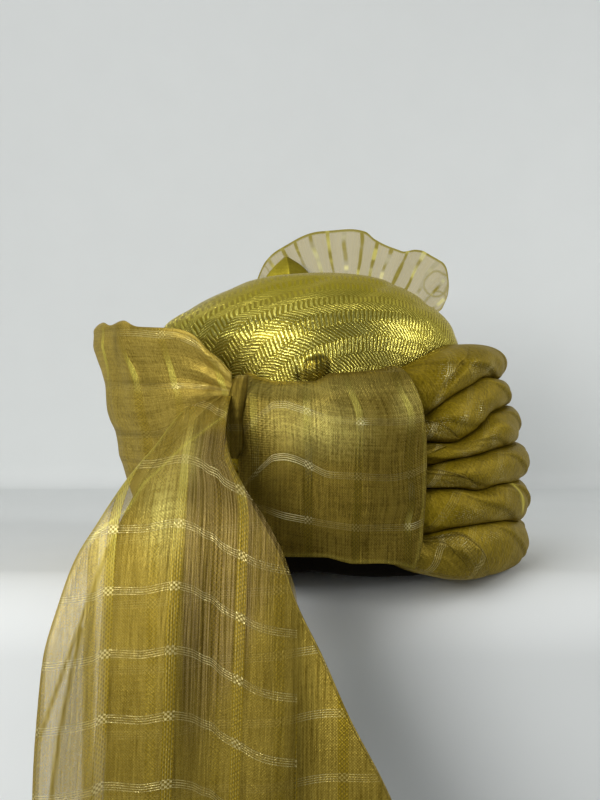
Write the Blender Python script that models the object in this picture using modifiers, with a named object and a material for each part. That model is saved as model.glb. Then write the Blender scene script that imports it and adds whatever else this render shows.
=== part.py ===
# A ready-wound turban: domed brocade crown, six wound rolls, back band, side wing,
# folded tail and a fan crest. Metres, +Z up. The rim lies on Z = 0 around the origin,
# the wearer faces -Y, and bearings count in degrees from the middle of the back (+Y)
# towards the wearer's right (-X).

from math import cos, pi, radians, sin

import bmesh
import bpy
import numpy as np
from mathutils import Vector

MM = 0.001
GAP = 0.4 * MM              # clear space between pieces that lie on each other
STEP = 9                    # degrees between sections round the head
TISSUE = 1.2 * MM           # one doubled layer of the sheer cloth
BROCADE = 2.5 * MM          # crown cloth with its buckram

# Crown, in millimetres: a ring for each height, oval, the dome leaning to the right
CROWN = {
    "height":     (0.0, 26.0, 60.0, 100.0, 124.5, 131.4, 137.0, 142.0, 147.5, 152.8,
                   157.0, 160.4, 165.5, 170.5, 173.6, 175.5),
    "half_width": (86.0, 87.0, 88.4, 90.0, 92.2, 92.5, 91.2, 89.5, 84.5, 77.6,
                   72.0, 66.8, 57.5, 46.0, 30.5, 17.0),
    "half_depth": (101.0, 102.0, 103.4, 105.0, 107.6, 108.0, 106.5, 104.5, 98.5, 90.5,
                   84.0, 78.0, 67.0, 53.5, 35.5, 20.0),
    "shift":      (0.0, 0.0, 0.0, 0.0, 1.0, 1.5, 2.0, 2.2, 1.0, -0.4,
                   -1.1, -1.8, -2.9, -4.0, -5.6, -6.6),
}
CROWN_FOOT = 26.0           # the brocade ends here and the head band goes on to the rim
CROWN_TOP = (-8.0, 0.0, 176.4)
PLEAT_DEPTH = 1.4           # crown pleats, millimetres
PLEAT_WIDTH = 21.0
PLEAT_SLANT = 28.0          # degrees between the pleats and the X axis

# The rim is lifted at the nape: bearing and height of the head band's lower edge
RIM = {"bearing": (0, 8, 14, 27, 40, 54), "height": (7.5, 5.5, 4.0, 2.0, 0.6, 0.0)}

# Rolls, top to bottom, in millimetres: how far each reaches from the middle of the head
# to the right, front, left and back, and how far in its upper and lower edges lie
ROLLS = {
    "right": (120.0, 123.5, 129.0, 133.5, 133.5, 133.5),
    "front": (134.0, 139.0, 144.0, 148.0, 148.0, 147.0),
    "left":  (112.0, 111.0, 109.5, 107.5, 105.0, 102.0),
    "back":  (128.5, 128.5, 128.5, 128.5, 128.5, 128.5),
    "upper_inset": (17.0, 7.0, 7.0, 7.5, 7.5, 7.5),
    "lower_inset": (6.5, 7.0, 7.5, 7.5, 7.5, 10.0),
}
ROLL_START = -9
ROLL_END = 342
ROUNDNESS = 0.8             # below 1 makes a roll's outer side fuller than a half circle
PINCH = 4.5                 # the rolls are drawn in under the band and the knot

# Heights of the roll seams, in millimetres, by bearing round the head
SEAMS = {
    "bearing": (-9, 0, 10, 19, 24, 28, 37, 46, 56, 80, 110, 140, 180, 220, 250, 280, 310, 342),
    "crest":   (101, 102, 104, 109, 115, 121.7, 128.3, 129, 130, 131.5, 134, 140, 146, 142,
                136, 131, 124, 106),
    "seam_1":  (86, 86.5, 87.5, 88, 88.3, 88.7, 99, 105.6, 110.8, 110, 112, 117, 122, 119,
                114, 110, 104, 90),
    "seam_2":  (72, 72.5, 73.5, 75, 75.5, 75.9, 74.9, 80.2, 90.2, 94.4, 96, 100, 105, 102,
                98, 94, 88, 75),
    "seam_3":  (60, 60.5, 61.5, 62.5, 62.8, 63, 66.4, 67.8, 70.2, 71.9, 73, 77, 80, 78,
                75, 71.5, 68, 60),
    "seam_4":  (47, 47.5, 49, 50.5, 51.2, 51.7, 51.2, 48.9, 50.7, 50, 51, 53, 56, 54,
                52, 49.5, 48, 45),
    "seam_5":  (33, 32, 30, 28.5, 28, 27.4, 30.1, 30.5, 30, 25.2, 26, 27, 29, 28,
                27, 26, 27, 30),
    "foot":    (22.5, 22.2, 19.5, 14.5, 10.5, 7.2, 2.2, 0.3, 0.3, 0.3, 0.3, 0.3, 0.3, 0.3,
                0.5, 1, 5, 15),
}
SEAM_NAMES = ("crest", "seam_1", "seam_2", "seam_3", "seam_4", "seam_5", "foot")

# Small pleats on the rolls' outer side: bearing, and the lower and upper edge as a
# share of the roll's height
PLEATS = {
    "pleat_upper": {"roll": 2, "layer": 0, "bearing": (21, 27, 31, 35, 38),
                    "low": (0.18, 0.18, 0.18, 0.18, 0.18),
                    "high": (0.82, 0.82, 0.60, 0.38, 0.23)},
    "pleat_middle": {"roll": 3, "layer": 0, "bearing": (21, 27, 30, 33),
                     "low": (0.50, 0.52, 0.62, 0.76),
                     "high": (0.82, 0.82, 0.82, 0.81)},
    "pleat_lower": {"roll": 4, "layer": 0, "bearing": (21, 28, 33, 38, 43),
                    "low": (0.18, 0.18, 0.18, 0.18, 0.18),
                    "high": (0.82, 0.82, 0.62, 0.42, 0.23)},
    "foot_wrap_long": {"roll": 6, "layer": 0, "bearing": (21, 30, 36, 41, 44.5, 47.5),
                       "low": (0.25, 0.25, 0.25, 0.25, 0.25, 0.25),
                       "high": (0.80, 0.80, 0.80, 0.66, 0.46, 0.30)},
    "foot_wrap_short": {"roll": 6, "layer": 1, "bearing": (21, 28, 30.5, 34, 37, 40),
                        "low": (0.30, 0.30, 0.30, 0.30, 0.29, 0.28),
                        "high": (0.74, 0.74, 0.72, 0.58, 0.42, 0.32)},
}

# Back band: its left end, hem and top edge by bearing, right hem by height
BAND_LEFT = -17.0
BAND_HEM = {"bearing": (-17, -6.6, 2.2, 6.6, 9, 14.6, 17.7, 21.6, 26),
            "height": (20, 19.5, 19.3, 16.8, 15.7, 15.6, 14.8, 12.5, 9.6)}
BAND_TOP = {"bearing": (-17, -13.8, -8.3, -0.2, 2.1, 4.4, 8.8, 13.5, 17.3, 20),
            "height": (112, 109.5, 107.3, 107.2, 109, 111.5, 112, 112.7, 113.6, 115.5)}
BAND_RIGHT = {"height": (10, 13, 31.7, 50.7, 66.7, 91.3, 100.6, 112, 116),
              "bearing": (22.4, 22.9, 25.3, 26.1, 26.3, 25.3, 23.8, 21.4, 20.0)}
BAND_ROUND = 14.0           # the top edge curves in over this height
BAND_TUCK = 2.0             # and ends this far below the edge, against the crown

# Upright pleat at the band's left end: height, left and right side (X), millimetres
BAND_PLEAT = {"height": (68.6, 72, 76, 82, 88, 97, 105.5, 110.5),
              "left": (40.4, 41.2, 41.5, 41.6, 41.6, 41.5, 40.3, 39.0),
              "right": (38.2, 36.4, 35.2, 35.6, 36.3, 34.9, 33.5, 33.0)}
BAND_PLEAT_BACK = 125.9
BAND_PLEAT_DEPTH = 2.8

# Side wing: top edge, its reach and its lower edge by bearing, flare by height
WING = {"bearing": (-112, -100, -90, -80, -69, -66, -59, -52, -46, -41, -36, -30, -26.7,
                    -25.3, -23.7, -21.1, -18.4),
        "top": (124, 130, 134.5, 137.5, 137.5, 140, 141, 138.5, 140, 136.5, 135.5, 134.3,
                131.5, 128.4, 124, 119, 111.5),
        "reach": (116, 121, 126, 130.5, 134.5, 135.3, 136.5, 139, 140.5, 141, 141, 139.5,
                  137, 136, 135.4, 134, 132),
        "hem": (22, 18, 15, 13.5, 12.5, 12.5, 13, 17, 26, 34, 44, 60, 69, 73, 78, 86, 95)}
FLARE = {"height": (10, 22, 52, 61, 67, 73, 80, 87, 94, 105, 114, 122, 130, 137, 142),
         "share": (0.78, 0.792, 0.861, 0.882, 0.898, 0.902, 0.908, 0.926, 0.936, 0.939,
                   0.956, 0.981, 1.0, 1.0, 0.973)}

# Tail, in millimetres: a row for each height. The cloth runs from its front hem to the
# left fold, back to the right fold and forward again to its middle hem.
TAIL = {"height": (-84, -59, -34, -10, 12, 30.5, 46.5, 61, 69, 77, 86, 94, 100),
        "front": (218, 218, 217, 215, 212, 208, 202, 192, 181, 167, 152, 140, 132.2),
        "left": (118.5, 117.5, 116, 114, 108.5, 102.5, 93.5, 85, 80, 74.5, 69.5, 63, 50),
        "right_fold": (-38, -27, -13.5, -2.5, 8.3, 15, 24, 34, 39, 42.3, 42.6, 42.3, 41.5),
        "front_hem": (8.2, 8.2, 8.2, 8.2, 8.2, 13, 21.5, 32, 37, 40.5, 42.3, 42.2, 42.1),
        "middle_hem": (88.5, 88.5, 88.5, 89, 89.5, 90, 88, 79.5, 74, 67.5, 60, 53, 47),
        "spread": (3.6, 3.6, 3.6, 3.5, 3.4, 3.2, 3.0, 2.8, 2.7, 2.6, 2.5, 2.4, 2.4)}
TAIL_WALL = 1.0 * MM
FLUTE = 3.0                 # tail flutes, millimetres deep at the hem
FLUTE_WIDTH = 46.0

# Fan crest: angle from upright towards the right, and the edge's reach from its root
FAN = {"angle": (-40, -32, -23, -16, -9, 0, 7, 11, 18, 22, 27, 30, 37, 43, 47, 50),
       "reach": (104, 113, 117, 119, 120, 120, 119, 115, 112, 111.5, 117.5, 119.5, 119.5,
                 113, 105, 94)}
FAN_ROOT = (-27.0, -117.0, 105.5)
FAN_FOOT = 146.5            # the visible fan starts here, just over the front roll
FAN_FLUTE = 3.6
FAN_WALL = 1.0 * MM

# Folded tip beside the fan: height, left side, ridge and right side (X), ridge depth
TIP = {"height": (146.5, 160, 175, 188, 196, 203),
       "left": (30, 34, 35, 32, 26, 18.5),
       "ridge": (15, 14.5, 14, 14.5, 15.5, 17),
       "right": (-1, -4, -4.5, -1.5, 5, 15.5),
       "rise": (2.0, 4.0, 6.0, 7.0, 6.0, 3.0)}
TIP_BACK = -107.5

COLORS = {
    "crown_cap": (0.50, 0.44, 0.09, 0.32, 0.55),
    "rim_band": (0.012, 0.010, 0.007, 0.9, 0.0),
    "roll": (0.19, 0.13, 0.012, 0.6, 0.1),
    "pleat": (0.24, 0.16, 0.03, 0.6, 0.1),
    "back_band": (0.26, 0.19, 0.055, 0.55, 0.15),
    "side_wing": (0.32, 0.24, 0.055, 0.55, 0.15),
    "tail": (0.42, 0.33, 0.08, 0.5, 0.15),
    "fan_crest": (0.50, 0.44, 0.24, 0.5, 0.1),
}


def column(table, name, at):
    """Value of a named column, read at a value of the table's first column."""
    keys = list(table)
    return float(np.interp(at, table[keys[0]], table[name]))


def smoothstep(low, high, value):
    t = min(1.0, max(0.0, (value - low) / (high - low)))
    return t * t * (3 - 2 * t)


def oval(bearing, half_x, half_y):
    """Radius of an oval at a bearing."""
    b = radians(bearing)
    return 1.0 / ((sin(b) / half_x) ** 2 + (cos(b) / half_y) ** 2) ** 0.5


def place(bearing, radius, height):
    """Point in metres from a bearing, and a radius and height in millimetres."""
    b = radians(bearing)
    return Vector((-radius * sin(b), radius * cos(b), height)) * MM


def crown_point(bearing, height, out=0.0):
    """Point on the crown's outer side, or a few millimetres outside it."""
    half_x = column(CROWN, "half_width", height) + out
    half_y = column(CROWN, "half_depth", height) + out
    point = place(bearing, oval(bearing, half_x, half_y), height)
    point.x += column(CROWN, "shift", height) * MM
    return point


def roll_reach(index, bearing):
    """Outermost radius of a roll, drawn in under the band and the knot."""
    side = "right" if sin(radians(bearing)) > 0 else "left"
    end = "back" if cos(radians(bearing)) > 0 else "front"
    reach = oval(bearing, ROLLS[side][index - 1], ROLLS[end][index - 1])
    turn = bearing if bearing < 180 else bearing - 360
    if turn > -10:
        pinch = 1.0 - smoothstep(22, 38, turn)
    else:
        pinch = 1.0 - smoothstep(18, 50, -turn)
    return reach - PINCH * pinch


def roll_heights(index, bearing):
    """Lower and upper height of a roll, with half a gap left free at each seam."""
    turn = bearing if bearing >= ROLL_START else bearing + 360
    top = column(SEAMS, SEAM_NAMES[index - 1], turn)
    bottom = column(SEAMS, SEAM_NAMES[index], turn)
    return bottom + 0.2, top - 0.2


def roll_skin(index, bearing, share, lift=0.0):
    """Point on a roll's outer side; share runs from 0 at its foot to 1 at its top."""
    bottom, top = roll_heights(index, bearing)
    reach = roll_reach(index, bearing)
    angle = (share - 0.5) * pi
    inset = ROLLS["upper_inset" if share > 0.5 else "lower_inset"][index - 1]
    radius = reach - inset * (1.0 - abs(cos(angle)) ** ROUNDNESS)
    middle = (bottom + top) / 2
    bend = abs(sin(angle)) ** ROUNDNESS * (1 if angle > 0 else -1)
    return place(bearing, radius + lift, middle + bend * (top - bottom) / 2)


def wrap_reach(bearing, height):
    """Radius that clears every roll at this bearing and height."""
    middles = []
    reaches = []
    for index in (6, 5, 4, 3, 2, 1):
        bottom, top = roll_heights(index, bearing)
        middles.append((bottom + top) / 2)
        reaches.append(roll_reach(index, bearing))
    return float(np.interp(height, middles, reaches)) + 0.7


def new_material(name, values):
    material = bpy.data.materials.new(name)
    material.use_nodes = True
    shader = material.node_tree.nodes["Principled BSDF"]
    shader.inputs["Base Color"].default_value = (*values[:3], 1.0)
    shader.inputs["Roughness"].default_value = values[3]
    shader.inputs["Metallic"].default_value = values[4]
    material.diffuse_color = (*values[:3], 1.0)
    return material


def add_object(name, mesh_data, collection, color):
    mesh = bpy.data.meshes.new(name)
    mesh_data.to_mesh(mesh)
    mesh_data.free()
    node = bpy.data.objects.new(name, mesh)
    node.data.materials.append(new_material(name, COLORS[color]))
    collection.objects.link(node)
    return node


def loft(name, sections, collection, color):
    """Closed solid through closed sections with the same number of points."""
    shape = bmesh.new()
    rings = [[shape.verts.new(point) for point in section] for section in sections]
    count = len(rings[0])
    for ring, following in zip(rings, rings[1:]):
        for i in range(count):
            j = (i + 1) % count
            shape.faces.new((ring[i], ring[j], following[j], following[i]))
    shape.faces.new(rings[0][::-1])
    shape.faces.new(rings[-1])
    bmesh.ops.recalc_face_normals(shape, faces=shape.faces)
    return add_object(name, shape, collection, color)


def sheet(name, columns, rows, surface, wall, collection, color):
    """Cloth of even wall: a grid laid on surface(u, v), with u and v from 0 to 1."""
    shape = bmesh.new()
    bmesh.ops.create_grid(shape, x_segments=columns, y_segments=rows, size=0.5)
    for vertex in shape.verts:
        vertex.co = surface(vertex.co.x + 0.5, vertex.co.y + 0.5)
    node = add_object(name, shape, collection, color)
    thicken = node.modifiers.new("wall", "SOLIDIFY")
    thicken.thickness = wall
    thicken.offset = 0.0
    return node


def crown_pleat(point):
    """Depth of the crown's pleats at a point, none where the rolls cover it."""
    slant = radians(PLEAT_SLANT)
    across = (point.z * cos(slant) + point.x * sin(slant)) / MM
    groove = (0.5 + 0.5 * cos(2 * pi * across / PLEAT_WIDTH)) ** 3
    return PLEAT_DEPTH * groove * smoothstep(150, 158, point.z / MM)


def build_crown(collection):
    heights = [h for h in CROWN["height"] if h >= CROWN_FOOT]
    shape = bmesh.new()
    rings = []
    for height in heights:
        ring = []
        for bearing in range(0, 360, STEP):
            point = crown_point(bearing, height)
            point.z -= crown_pleat(point) * MM
            ring.append(shape.verts.new(point))
        rings.append(ring)
    count = len(rings[0])
    for ring, following in zip(rings, rings[1:]):
        for i in range(count):
            j = (i + 1) % count
            shape.faces.new((ring[i], ring[j], following[j], following[i]))
    top = shape.verts.new(Vector(CROWN_TOP) * MM)
    for i in range(count):
        shape.faces.new((rings[-1][i], rings[-1][(i + 1) % count], top))
    bmesh.ops.recalc_face_normals(shape, faces=shape.faces)
    node = add_object("crown_cap", shape, collection, "crown_cap")
    thicken = node.modifiers.new("wall", "SOLIDIFY")
    thicken.thickness = BROCADE
    thicken.offset = -1.0
    return node


def build_rim_band(collection):
    """Head band from the lifted rim up to the brocade."""
    wall = BROCADE / MM
    sections = []
    for bearing in range(0, 360, STEP):
        turn = min(bearing, 360 - bearing)
        foot = column(RIM, "height", turn)
        top = CROWN_FOOT - 0.4
        sections.append([crown_point(bearing, foot), crown_point(bearing, top),
                         crown_point(bearing, top, -wall), crown_point(bearing, foot, -wall)])
    shape = bmesh.new()
    rings = [[shape.verts.new(point) for point in section] for section in sections]
    for ring, following in zip(rings, rings[1:] + rings[:1]):
        for i in range(4):
            j = (i + 1) % 4
            shape.faces.new((ring[i], ring[j], following[j], following[i]))
    bmesh.ops.recalc_face_normals(shape, faces=shape.faces)
    return add_object("rim_band", shape, collection, "rim_band")


def roll_section(index, bearing, outer_points, inner_points):
    bottom, top = roll_heights(index, bearing)
    inner_gap = 1.3 if index == 1 else 0.8
    section = []
    for i in range(inner_points):
        height = bottom + (top - bottom) * i / (inner_points - 1)
        section.append(crown_point(bearing, height, inner_gap))
    for i in range(outer_points):
        section.append(roll_skin(index, bearing, 1.0 - i / (outer_points - 1)))
    return section


def build_rolls(collection):
    for index in range(1, 7):
        inner_points = 6 if index == 1 else 2
        sections = [roll_section(index, bearing, 7, inner_points)
                    for bearing in range(ROLL_START, ROLL_END + 1, STEP)]
        loft(f"roll_{index}", sections, collection, "roll")


def build_pleats(collection):
    wall = 1.0
    for name, pleat in PLEATS.items():
        table = {key: pleat[key] for key in ("bearing", "low", "high")}
        first = pleat["bearing"][0]
        last = pleat["bearing"][-1]
        lift = 0.7 + wall / 2 + pleat["layer"] * (wall + 0.7)

        def surface(u, v):
            bearing = first + (last - first) * u
            low = column(table, "low", bearing)
            high = column(table, "high", bearing)
            return roll_skin(pleat["roll"], bearing, low + (high - low) * v, lift)

        sheet(name, 6, 5, surface, wall * MM, collection, "pleat")


def band_radius(bearing, height):
    """Middle of the band's cloth, clear of the rolls behind it."""
    return oval(bearing, 133.5, 128.5) + 0.6 + GAP / MM


def band_point(u, v):
    """The band from its hem (v = 0) over the top edge (v = 0.9) to its tucked end."""
    rise = min(v / 0.9, 1.0)
    rough = 15 + 97 * rise
    right = column(BAND_RIGHT, "bearing", rough)
    bearing = BAND_LEFT + (right - BAND_LEFT) * u
    hem = column(BAND_HEM, "height", bearing)
    top = column(BAND_TOP, "height", bearing)
    height = hem + (top - hem) * rise
    radius = band_radius(bearing, height)
    fall = max(0.0, (height - (top - BAND_ROUND)) / BAND_ROUND)
    radius -= BAND_ROUND * (1.0 - (1.0 - fall ** 2) ** 0.5)
    if v > 0.9:
        tuck = (v - 0.9) / 0.1
        seat = (crown_point(bearing, top - BAND_TUCK, 1.0).xy.length) / MM
        radius += (seat - radius) * tuck
        height -= BAND_TUCK * tuck ** 2
    return place(bearing, radius, height)


def build_band(collection):
    sheet("back_band", 11, 20, band_point, TISSUE, collection, "back_band")


def build_band_pleat(collection):
    """A flat fold, thickest in its middle."""
    sections = []
    for i, height in enumerate(BAND_PLEAT["height"]):
        left = BAND_PLEAT["left"][i]
        right = BAND_PLEAT["right"][i]
        half = (left - right) / 2
        centre = (left + right) / 2
        section = []
        for share, depth in ((-1, 0.35), (-0.8, 0.0), (0.8, 0.0), (1, 0.35),
                             (0.9, 0.8), (0.4, 1.0), (-0.4, 1.0), (-0.9, 0.8)):
            y = BAND_PLEAT_BACK + BAND_PLEAT_DEPTH * depth
            section.append(Vector((centre + half * share, y, height)) * MM)
        sections.append(section)
    loft("band_pleat", sections, collection, "pleat")


def wing_point(u, v):
    """The wing from its far end (u = 0) to the knot (u = 1), hem to top edge."""
    first = WING["bearing"][0]
    last = WING["bearing"][-1]
    bearing = first + (last - first) * u ** 0.8
    top = column(WING, "top", bearing)
    hem = column(WING, "hem", bearing)
    height = hem + (top - hem) * v
    flare = column(FLARE, "share", height) / column(FLARE, "share", top)
    radius = column(WING, "reach", bearing) * flare
    clear = wrap_reach(bearing, height) + TISSUE / MM / 2 + GAP / MM
    return place(bearing, max(radius, clear), height)


def build_wing(collection):
    sheet("side_wing", 17, 9, wing_point, TISSUE, collection, "side_wing")


def tail_path(height):
    """The folded cloth's path at one height: points from the front hem inwards."""
    front = column(TAIL, "front", height)
    left = column(TAIL, "left", height)
    right = column(TAIL, "right_fold", height)
    front_hem = column(TAIL, "front_hem", height)
    middle_hem = column(TAIL, "middle_hem", height)
    spread = column(TAIL, "spread", height)
    flute = FLUTE * smoothstep(75, -20, height)
    half = spread / 2
    path = []

    def lay(x, y):
        wave = flute * cos(2 * pi * (x - 20) / FLUTE_WIDTH)
        path.append(Vector((x, y + wave, height)) * MM)

    for i in range(7):
        lay(front_hem + (left - spread - front_hem) * i / 6, front)
    lay(left, front - spread)
    for i in range(8):
        lay(left - spread + (right + half - left + spread) * i / 7, front - 2 * spread)
    lay(right, front - 1.5 * spread)
    for i in range(6):
        lay(right + half + (middle_hem - right - half) * i / 5, front - spread)
    return path


def build_tail(collection):
    heights = sorted(TAIL["height"])
    paths = [tail_path(height) for height in heights]
    columns = len(paths[0]) - 1
    rows = len(paths) - 1

    def surface(u, v):
        return paths[round(v * rows)][round(u * columns)]

    sheet("tail", columns, rows, surface, TAIL_WALL, collection, "tail")


def fan_point(u, v):
    first = FAN["angle"][0]
    last = FAN["angle"][-1]
    angle = first + (last - first) * u
    lean = radians(angle)
    reach = column(FAN, "reach", angle)
    foot = (FAN_FOOT + max(0, angle - 32) * 0.25 - FAN_ROOT[2]) / cos(lean)
    radius = foot + (reach - foot) * v
    wave = FAN_FLUTE * v * cos(2 * pi * u * 8)
    x = FAN_ROOT[0] - radius * sin(lean)
    return Vector((x, FAN_ROOT[1] + wave, FAN_ROOT[2] + radius * cos(lean))) * MM


def build_fan(collection):
    sheet("fan_crest", 32, 4, fan_point, FAN_WALL, collection, "fan_crest")


def tip_point(u, v):
    height = TIP["height"][0] + (TIP["height"][-1] - TIP["height"][0]) * v
    left = column(TIP, "left", height)
    ridge = column(TIP, "ridge", height)
    right = column(TIP, "right", height)
    rise = column(TIP, "rise", height)
    x = float(np.interp(u, (0.0, 0.5, 1.0), (left, ridge, right)))
    fold = rise * (1.0 - abs(2 * u - 1.0))
    return Vector((x, TIP_BACK + fold, height)) * MM


def build_tip(collection):
    sheet("crest_fold", 4, 6, tip_point, TISSUE, collection, "pleat")


def main():
    for item in list(bpy.data.objects):
        bpy.data.objects.remove(item, do_unlink=True)
    collection = bpy.data.collections.new("turban")
    bpy.context.scene.collection.children.link(collection)
    build_crown(collection)
    build_rim_band(collection)
    build_rolls(collection)
    build_pleats(collection)
    build_band(collection)
    build_band_pleat(collection)
    build_wing(collection)
    build_tail(collection)
    build_fan(collection)
    build_tip(collection)


main()
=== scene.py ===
from math import pi, radians

import bpy
import numpy as np
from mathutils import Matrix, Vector


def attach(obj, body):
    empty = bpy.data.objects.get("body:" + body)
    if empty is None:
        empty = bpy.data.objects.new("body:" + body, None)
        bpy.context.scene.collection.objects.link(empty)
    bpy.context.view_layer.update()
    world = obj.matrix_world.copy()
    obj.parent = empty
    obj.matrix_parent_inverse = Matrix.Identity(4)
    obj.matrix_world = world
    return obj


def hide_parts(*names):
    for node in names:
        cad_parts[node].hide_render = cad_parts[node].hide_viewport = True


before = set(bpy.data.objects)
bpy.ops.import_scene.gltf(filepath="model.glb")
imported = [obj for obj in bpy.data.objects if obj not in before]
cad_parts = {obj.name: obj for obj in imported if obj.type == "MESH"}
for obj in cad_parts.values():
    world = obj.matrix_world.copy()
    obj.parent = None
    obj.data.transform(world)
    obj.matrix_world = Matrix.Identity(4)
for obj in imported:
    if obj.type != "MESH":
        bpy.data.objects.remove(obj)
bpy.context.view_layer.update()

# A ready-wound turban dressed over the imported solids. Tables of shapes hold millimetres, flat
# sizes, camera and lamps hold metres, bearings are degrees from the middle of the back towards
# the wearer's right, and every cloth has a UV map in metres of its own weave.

mm = 0.001
roundTurn = np.arange(0, 360, 1.2)


# Camera

cameraView = {"place": (0.007, 0.63, 0.098), "turn": (90, 0, 180), "lens": 45, "sensor": 36}


def setCamera():
    lens = bpy.data.cameras.new("photoCamera")
    lens.lens = cameraView["lens"]
    lens.sensor_width = cameraView["sensor"]
    lens.clip_start = 0.01
    camera = bpy.data.objects.new("photoCamera", lens)
    camera.location = cameraView["place"]
    camera.rotation_euler = [radians(a) for a in cameraView["turn"]]
    bpy.context.scene.collection.objects.link(camera)
    bpy.context.scene.camera = camera
    bpy.context.scene.view_settings.view_transform = "Standard"


setCamera()
print("camera set")


# Numbers and curves

def smooth(low, high, value):
    t = np.clip((value - low) / (high - low), 0.0, 1.0)
    return t * t * (3 - 2 * t)


def curve(table, name, at):
    # a named column against the table's first one, as a smooth curve without overshoot
    keys = np.array(next(iter(table.values())), float)
    values = np.array(table[name], float)
    steps = np.diff(keys)
    rises = np.diff(values) / steps
    slopes = np.zeros(len(keys))
    slopes[0], slopes[-1] = rises[0], rises[-1]
    for i in range(1, len(keys) - 1):
        if rises[i - 1] * rises[i] > 0:
            first, second = 2 * steps[i] + steps[i - 1], steps[i] + 2 * steps[i - 1]
            slopes[i] = (first + second) / (first / rises[i - 1] + second / rises[i])
    at = np.clip(np.asarray(at, float), keys[0], keys[-1])
    i = np.clip(np.searchsorted(keys, at, side="right") - 1, 0, len(steps) - 1)
    h = steps[i]
    t = (at - keys[i]) / h
    return (values[i] * (1 + 2 * t) * (1 - t) ** 2 + slopes[i] * h * t * (1 - t) ** 2
            + values[i + 1] * t * t * (3 - 2 * t) - slopes[i + 1] * h * t * t * (1 - t))


def softNoise(x, y, seed):
    # smooth noise from -1 to 1 on a lattice of one unit
    lattice = np.random.default_rng(seed).uniform(-1, 1, (97, 89))
    x, y = np.broadcast_arrays(np.asarray(x, float), np.asarray(y, float))
    i, j = np.floor(x).astype(int), np.floor(y).astype(int)
    a, b = x - i, y - j
    a, b = a * a * (3 - 2 * a), b * b * (3 - 2 * b)
    low = lattice[i % 97, j % 89] * (1 - a) + lattice[(i + 1) % 97, j % 89] * a
    high = lattice[i % 97, (j + 1) % 89] * (1 - a) + lattice[(i + 1) % 97, (j + 1) % 89] * a
    return low * (1 - b) + high * b


def bump(x, y, centre, spread):
    # one soft hump, 1 at its centre
    return np.exp(-((x - centre[0]) / spread[0]) ** 2 - ((y - centre[1]) / spread[1]) ** 2)


def softLine(value, centre, spread):
    # 1 on a line, fading away on both sides of it
    return np.exp(-((value - centre) / spread) ** 2)


def gridTrack(value, marks, pitch, scale=1.0):
    # cloth coordinate that reaches a whole number of pitches at each mark
    track = (value - marks[0]) * scale
    for k in range(len(marks) - 1):
        inside = k * pitch + (value - marks[k]) / (marks[k + 1] - marks[k]) * pitch
        track = np.where(value > marks[k], inside, track)
    last = (len(marks) - 1) * pitch + (value - marks[-1]) * scale
    return np.where(value > marks[-1], last, track)


# Meshes

def meshFrom(name, points, faces, cloth, facts=None):
    # points in millimetres, cloth coordinates in metres, facts as named point values
    mesh = bpy.data.meshes.new(name)
    mesh.from_pydata((np.asarray(points) * mm).tolist(), [], faces)
    mesh.update()
    layer = mesh.uv_layers.new(name="cloth")
    corners = np.zeros(len(mesh.loops), int)
    mesh.loops.foreach_get("vertex_index", corners)
    layer.data.foreach_set("uv", np.asarray(cloth, float)[corners].ravel())
    for fact, values in (facts or {}).items():
        attribute = mesh.attributes.new(fact, "FLOAT", "POINT")
        attribute.data.foreach_set("value", np.asarray(values, np.float32).ravel())
    mesh.polygons.foreach_set("use_smooth", [True] * len(mesh.polygons))
    piece = bpy.data.objects.new(name, mesh)
    bpy.context.scene.collection.objects.link(piece)
    return piece


def gridFaces(columns, rows, closed=False):
    # quads of a grid stored row by row
    faces = []
    for j in range(rows - 1):
        for i in range(columns if closed else columns - 1):
            k = (i + 1) % columns
            faces.append((j * columns + i, j * columns + k,
                          (j + 1) * columns + k, (j + 1) * columns + i))
    return faces


def clothSheet(name, columns, rows, surface, wall=0.0, facts=None):
    # surface(u, v) gives points in millimetres and cloth coordinates in millimetres
    u, v = np.meshgrid(np.linspace(0, 1, columns), np.linspace(0, 1, rows))
    points, s, t = surface(u, v)
    named = {key: value(u, v, points) for key, value in (facts or {}).items()}
    cloth = np.stack([s, t], -1).reshape(-1, 2) * mm
    piece = meshFrom(name, points.reshape(-1, 3), gridFaces(columns, rows), cloth, named)
    if wall:
        thicken = piece.modifiers.new("wall", "SOLIDIFY")
        thicken.thickness = wall * mm
        thicken.offset = 0.0
    return piece


def patches(places):
    # a named value that swells round chosen places: x, height, reach in x, reach in height, gain
    def value(u, v, points):
        total = 0 * points[..., 0]
        for x, height, wide, tall, gain in places:
            near = bump(points[..., 0], points[..., 2], (x, height), (wide, tall))
            total = np.maximum(total, gain * near)
        return total
    return value


def finishPiece(piece, material, slot, *nodes):
    piece.data.materials.append(material)
    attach(piece, "root")
    if nodes:
        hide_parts(*nodes)
    return piece


# Material wiring

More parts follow.
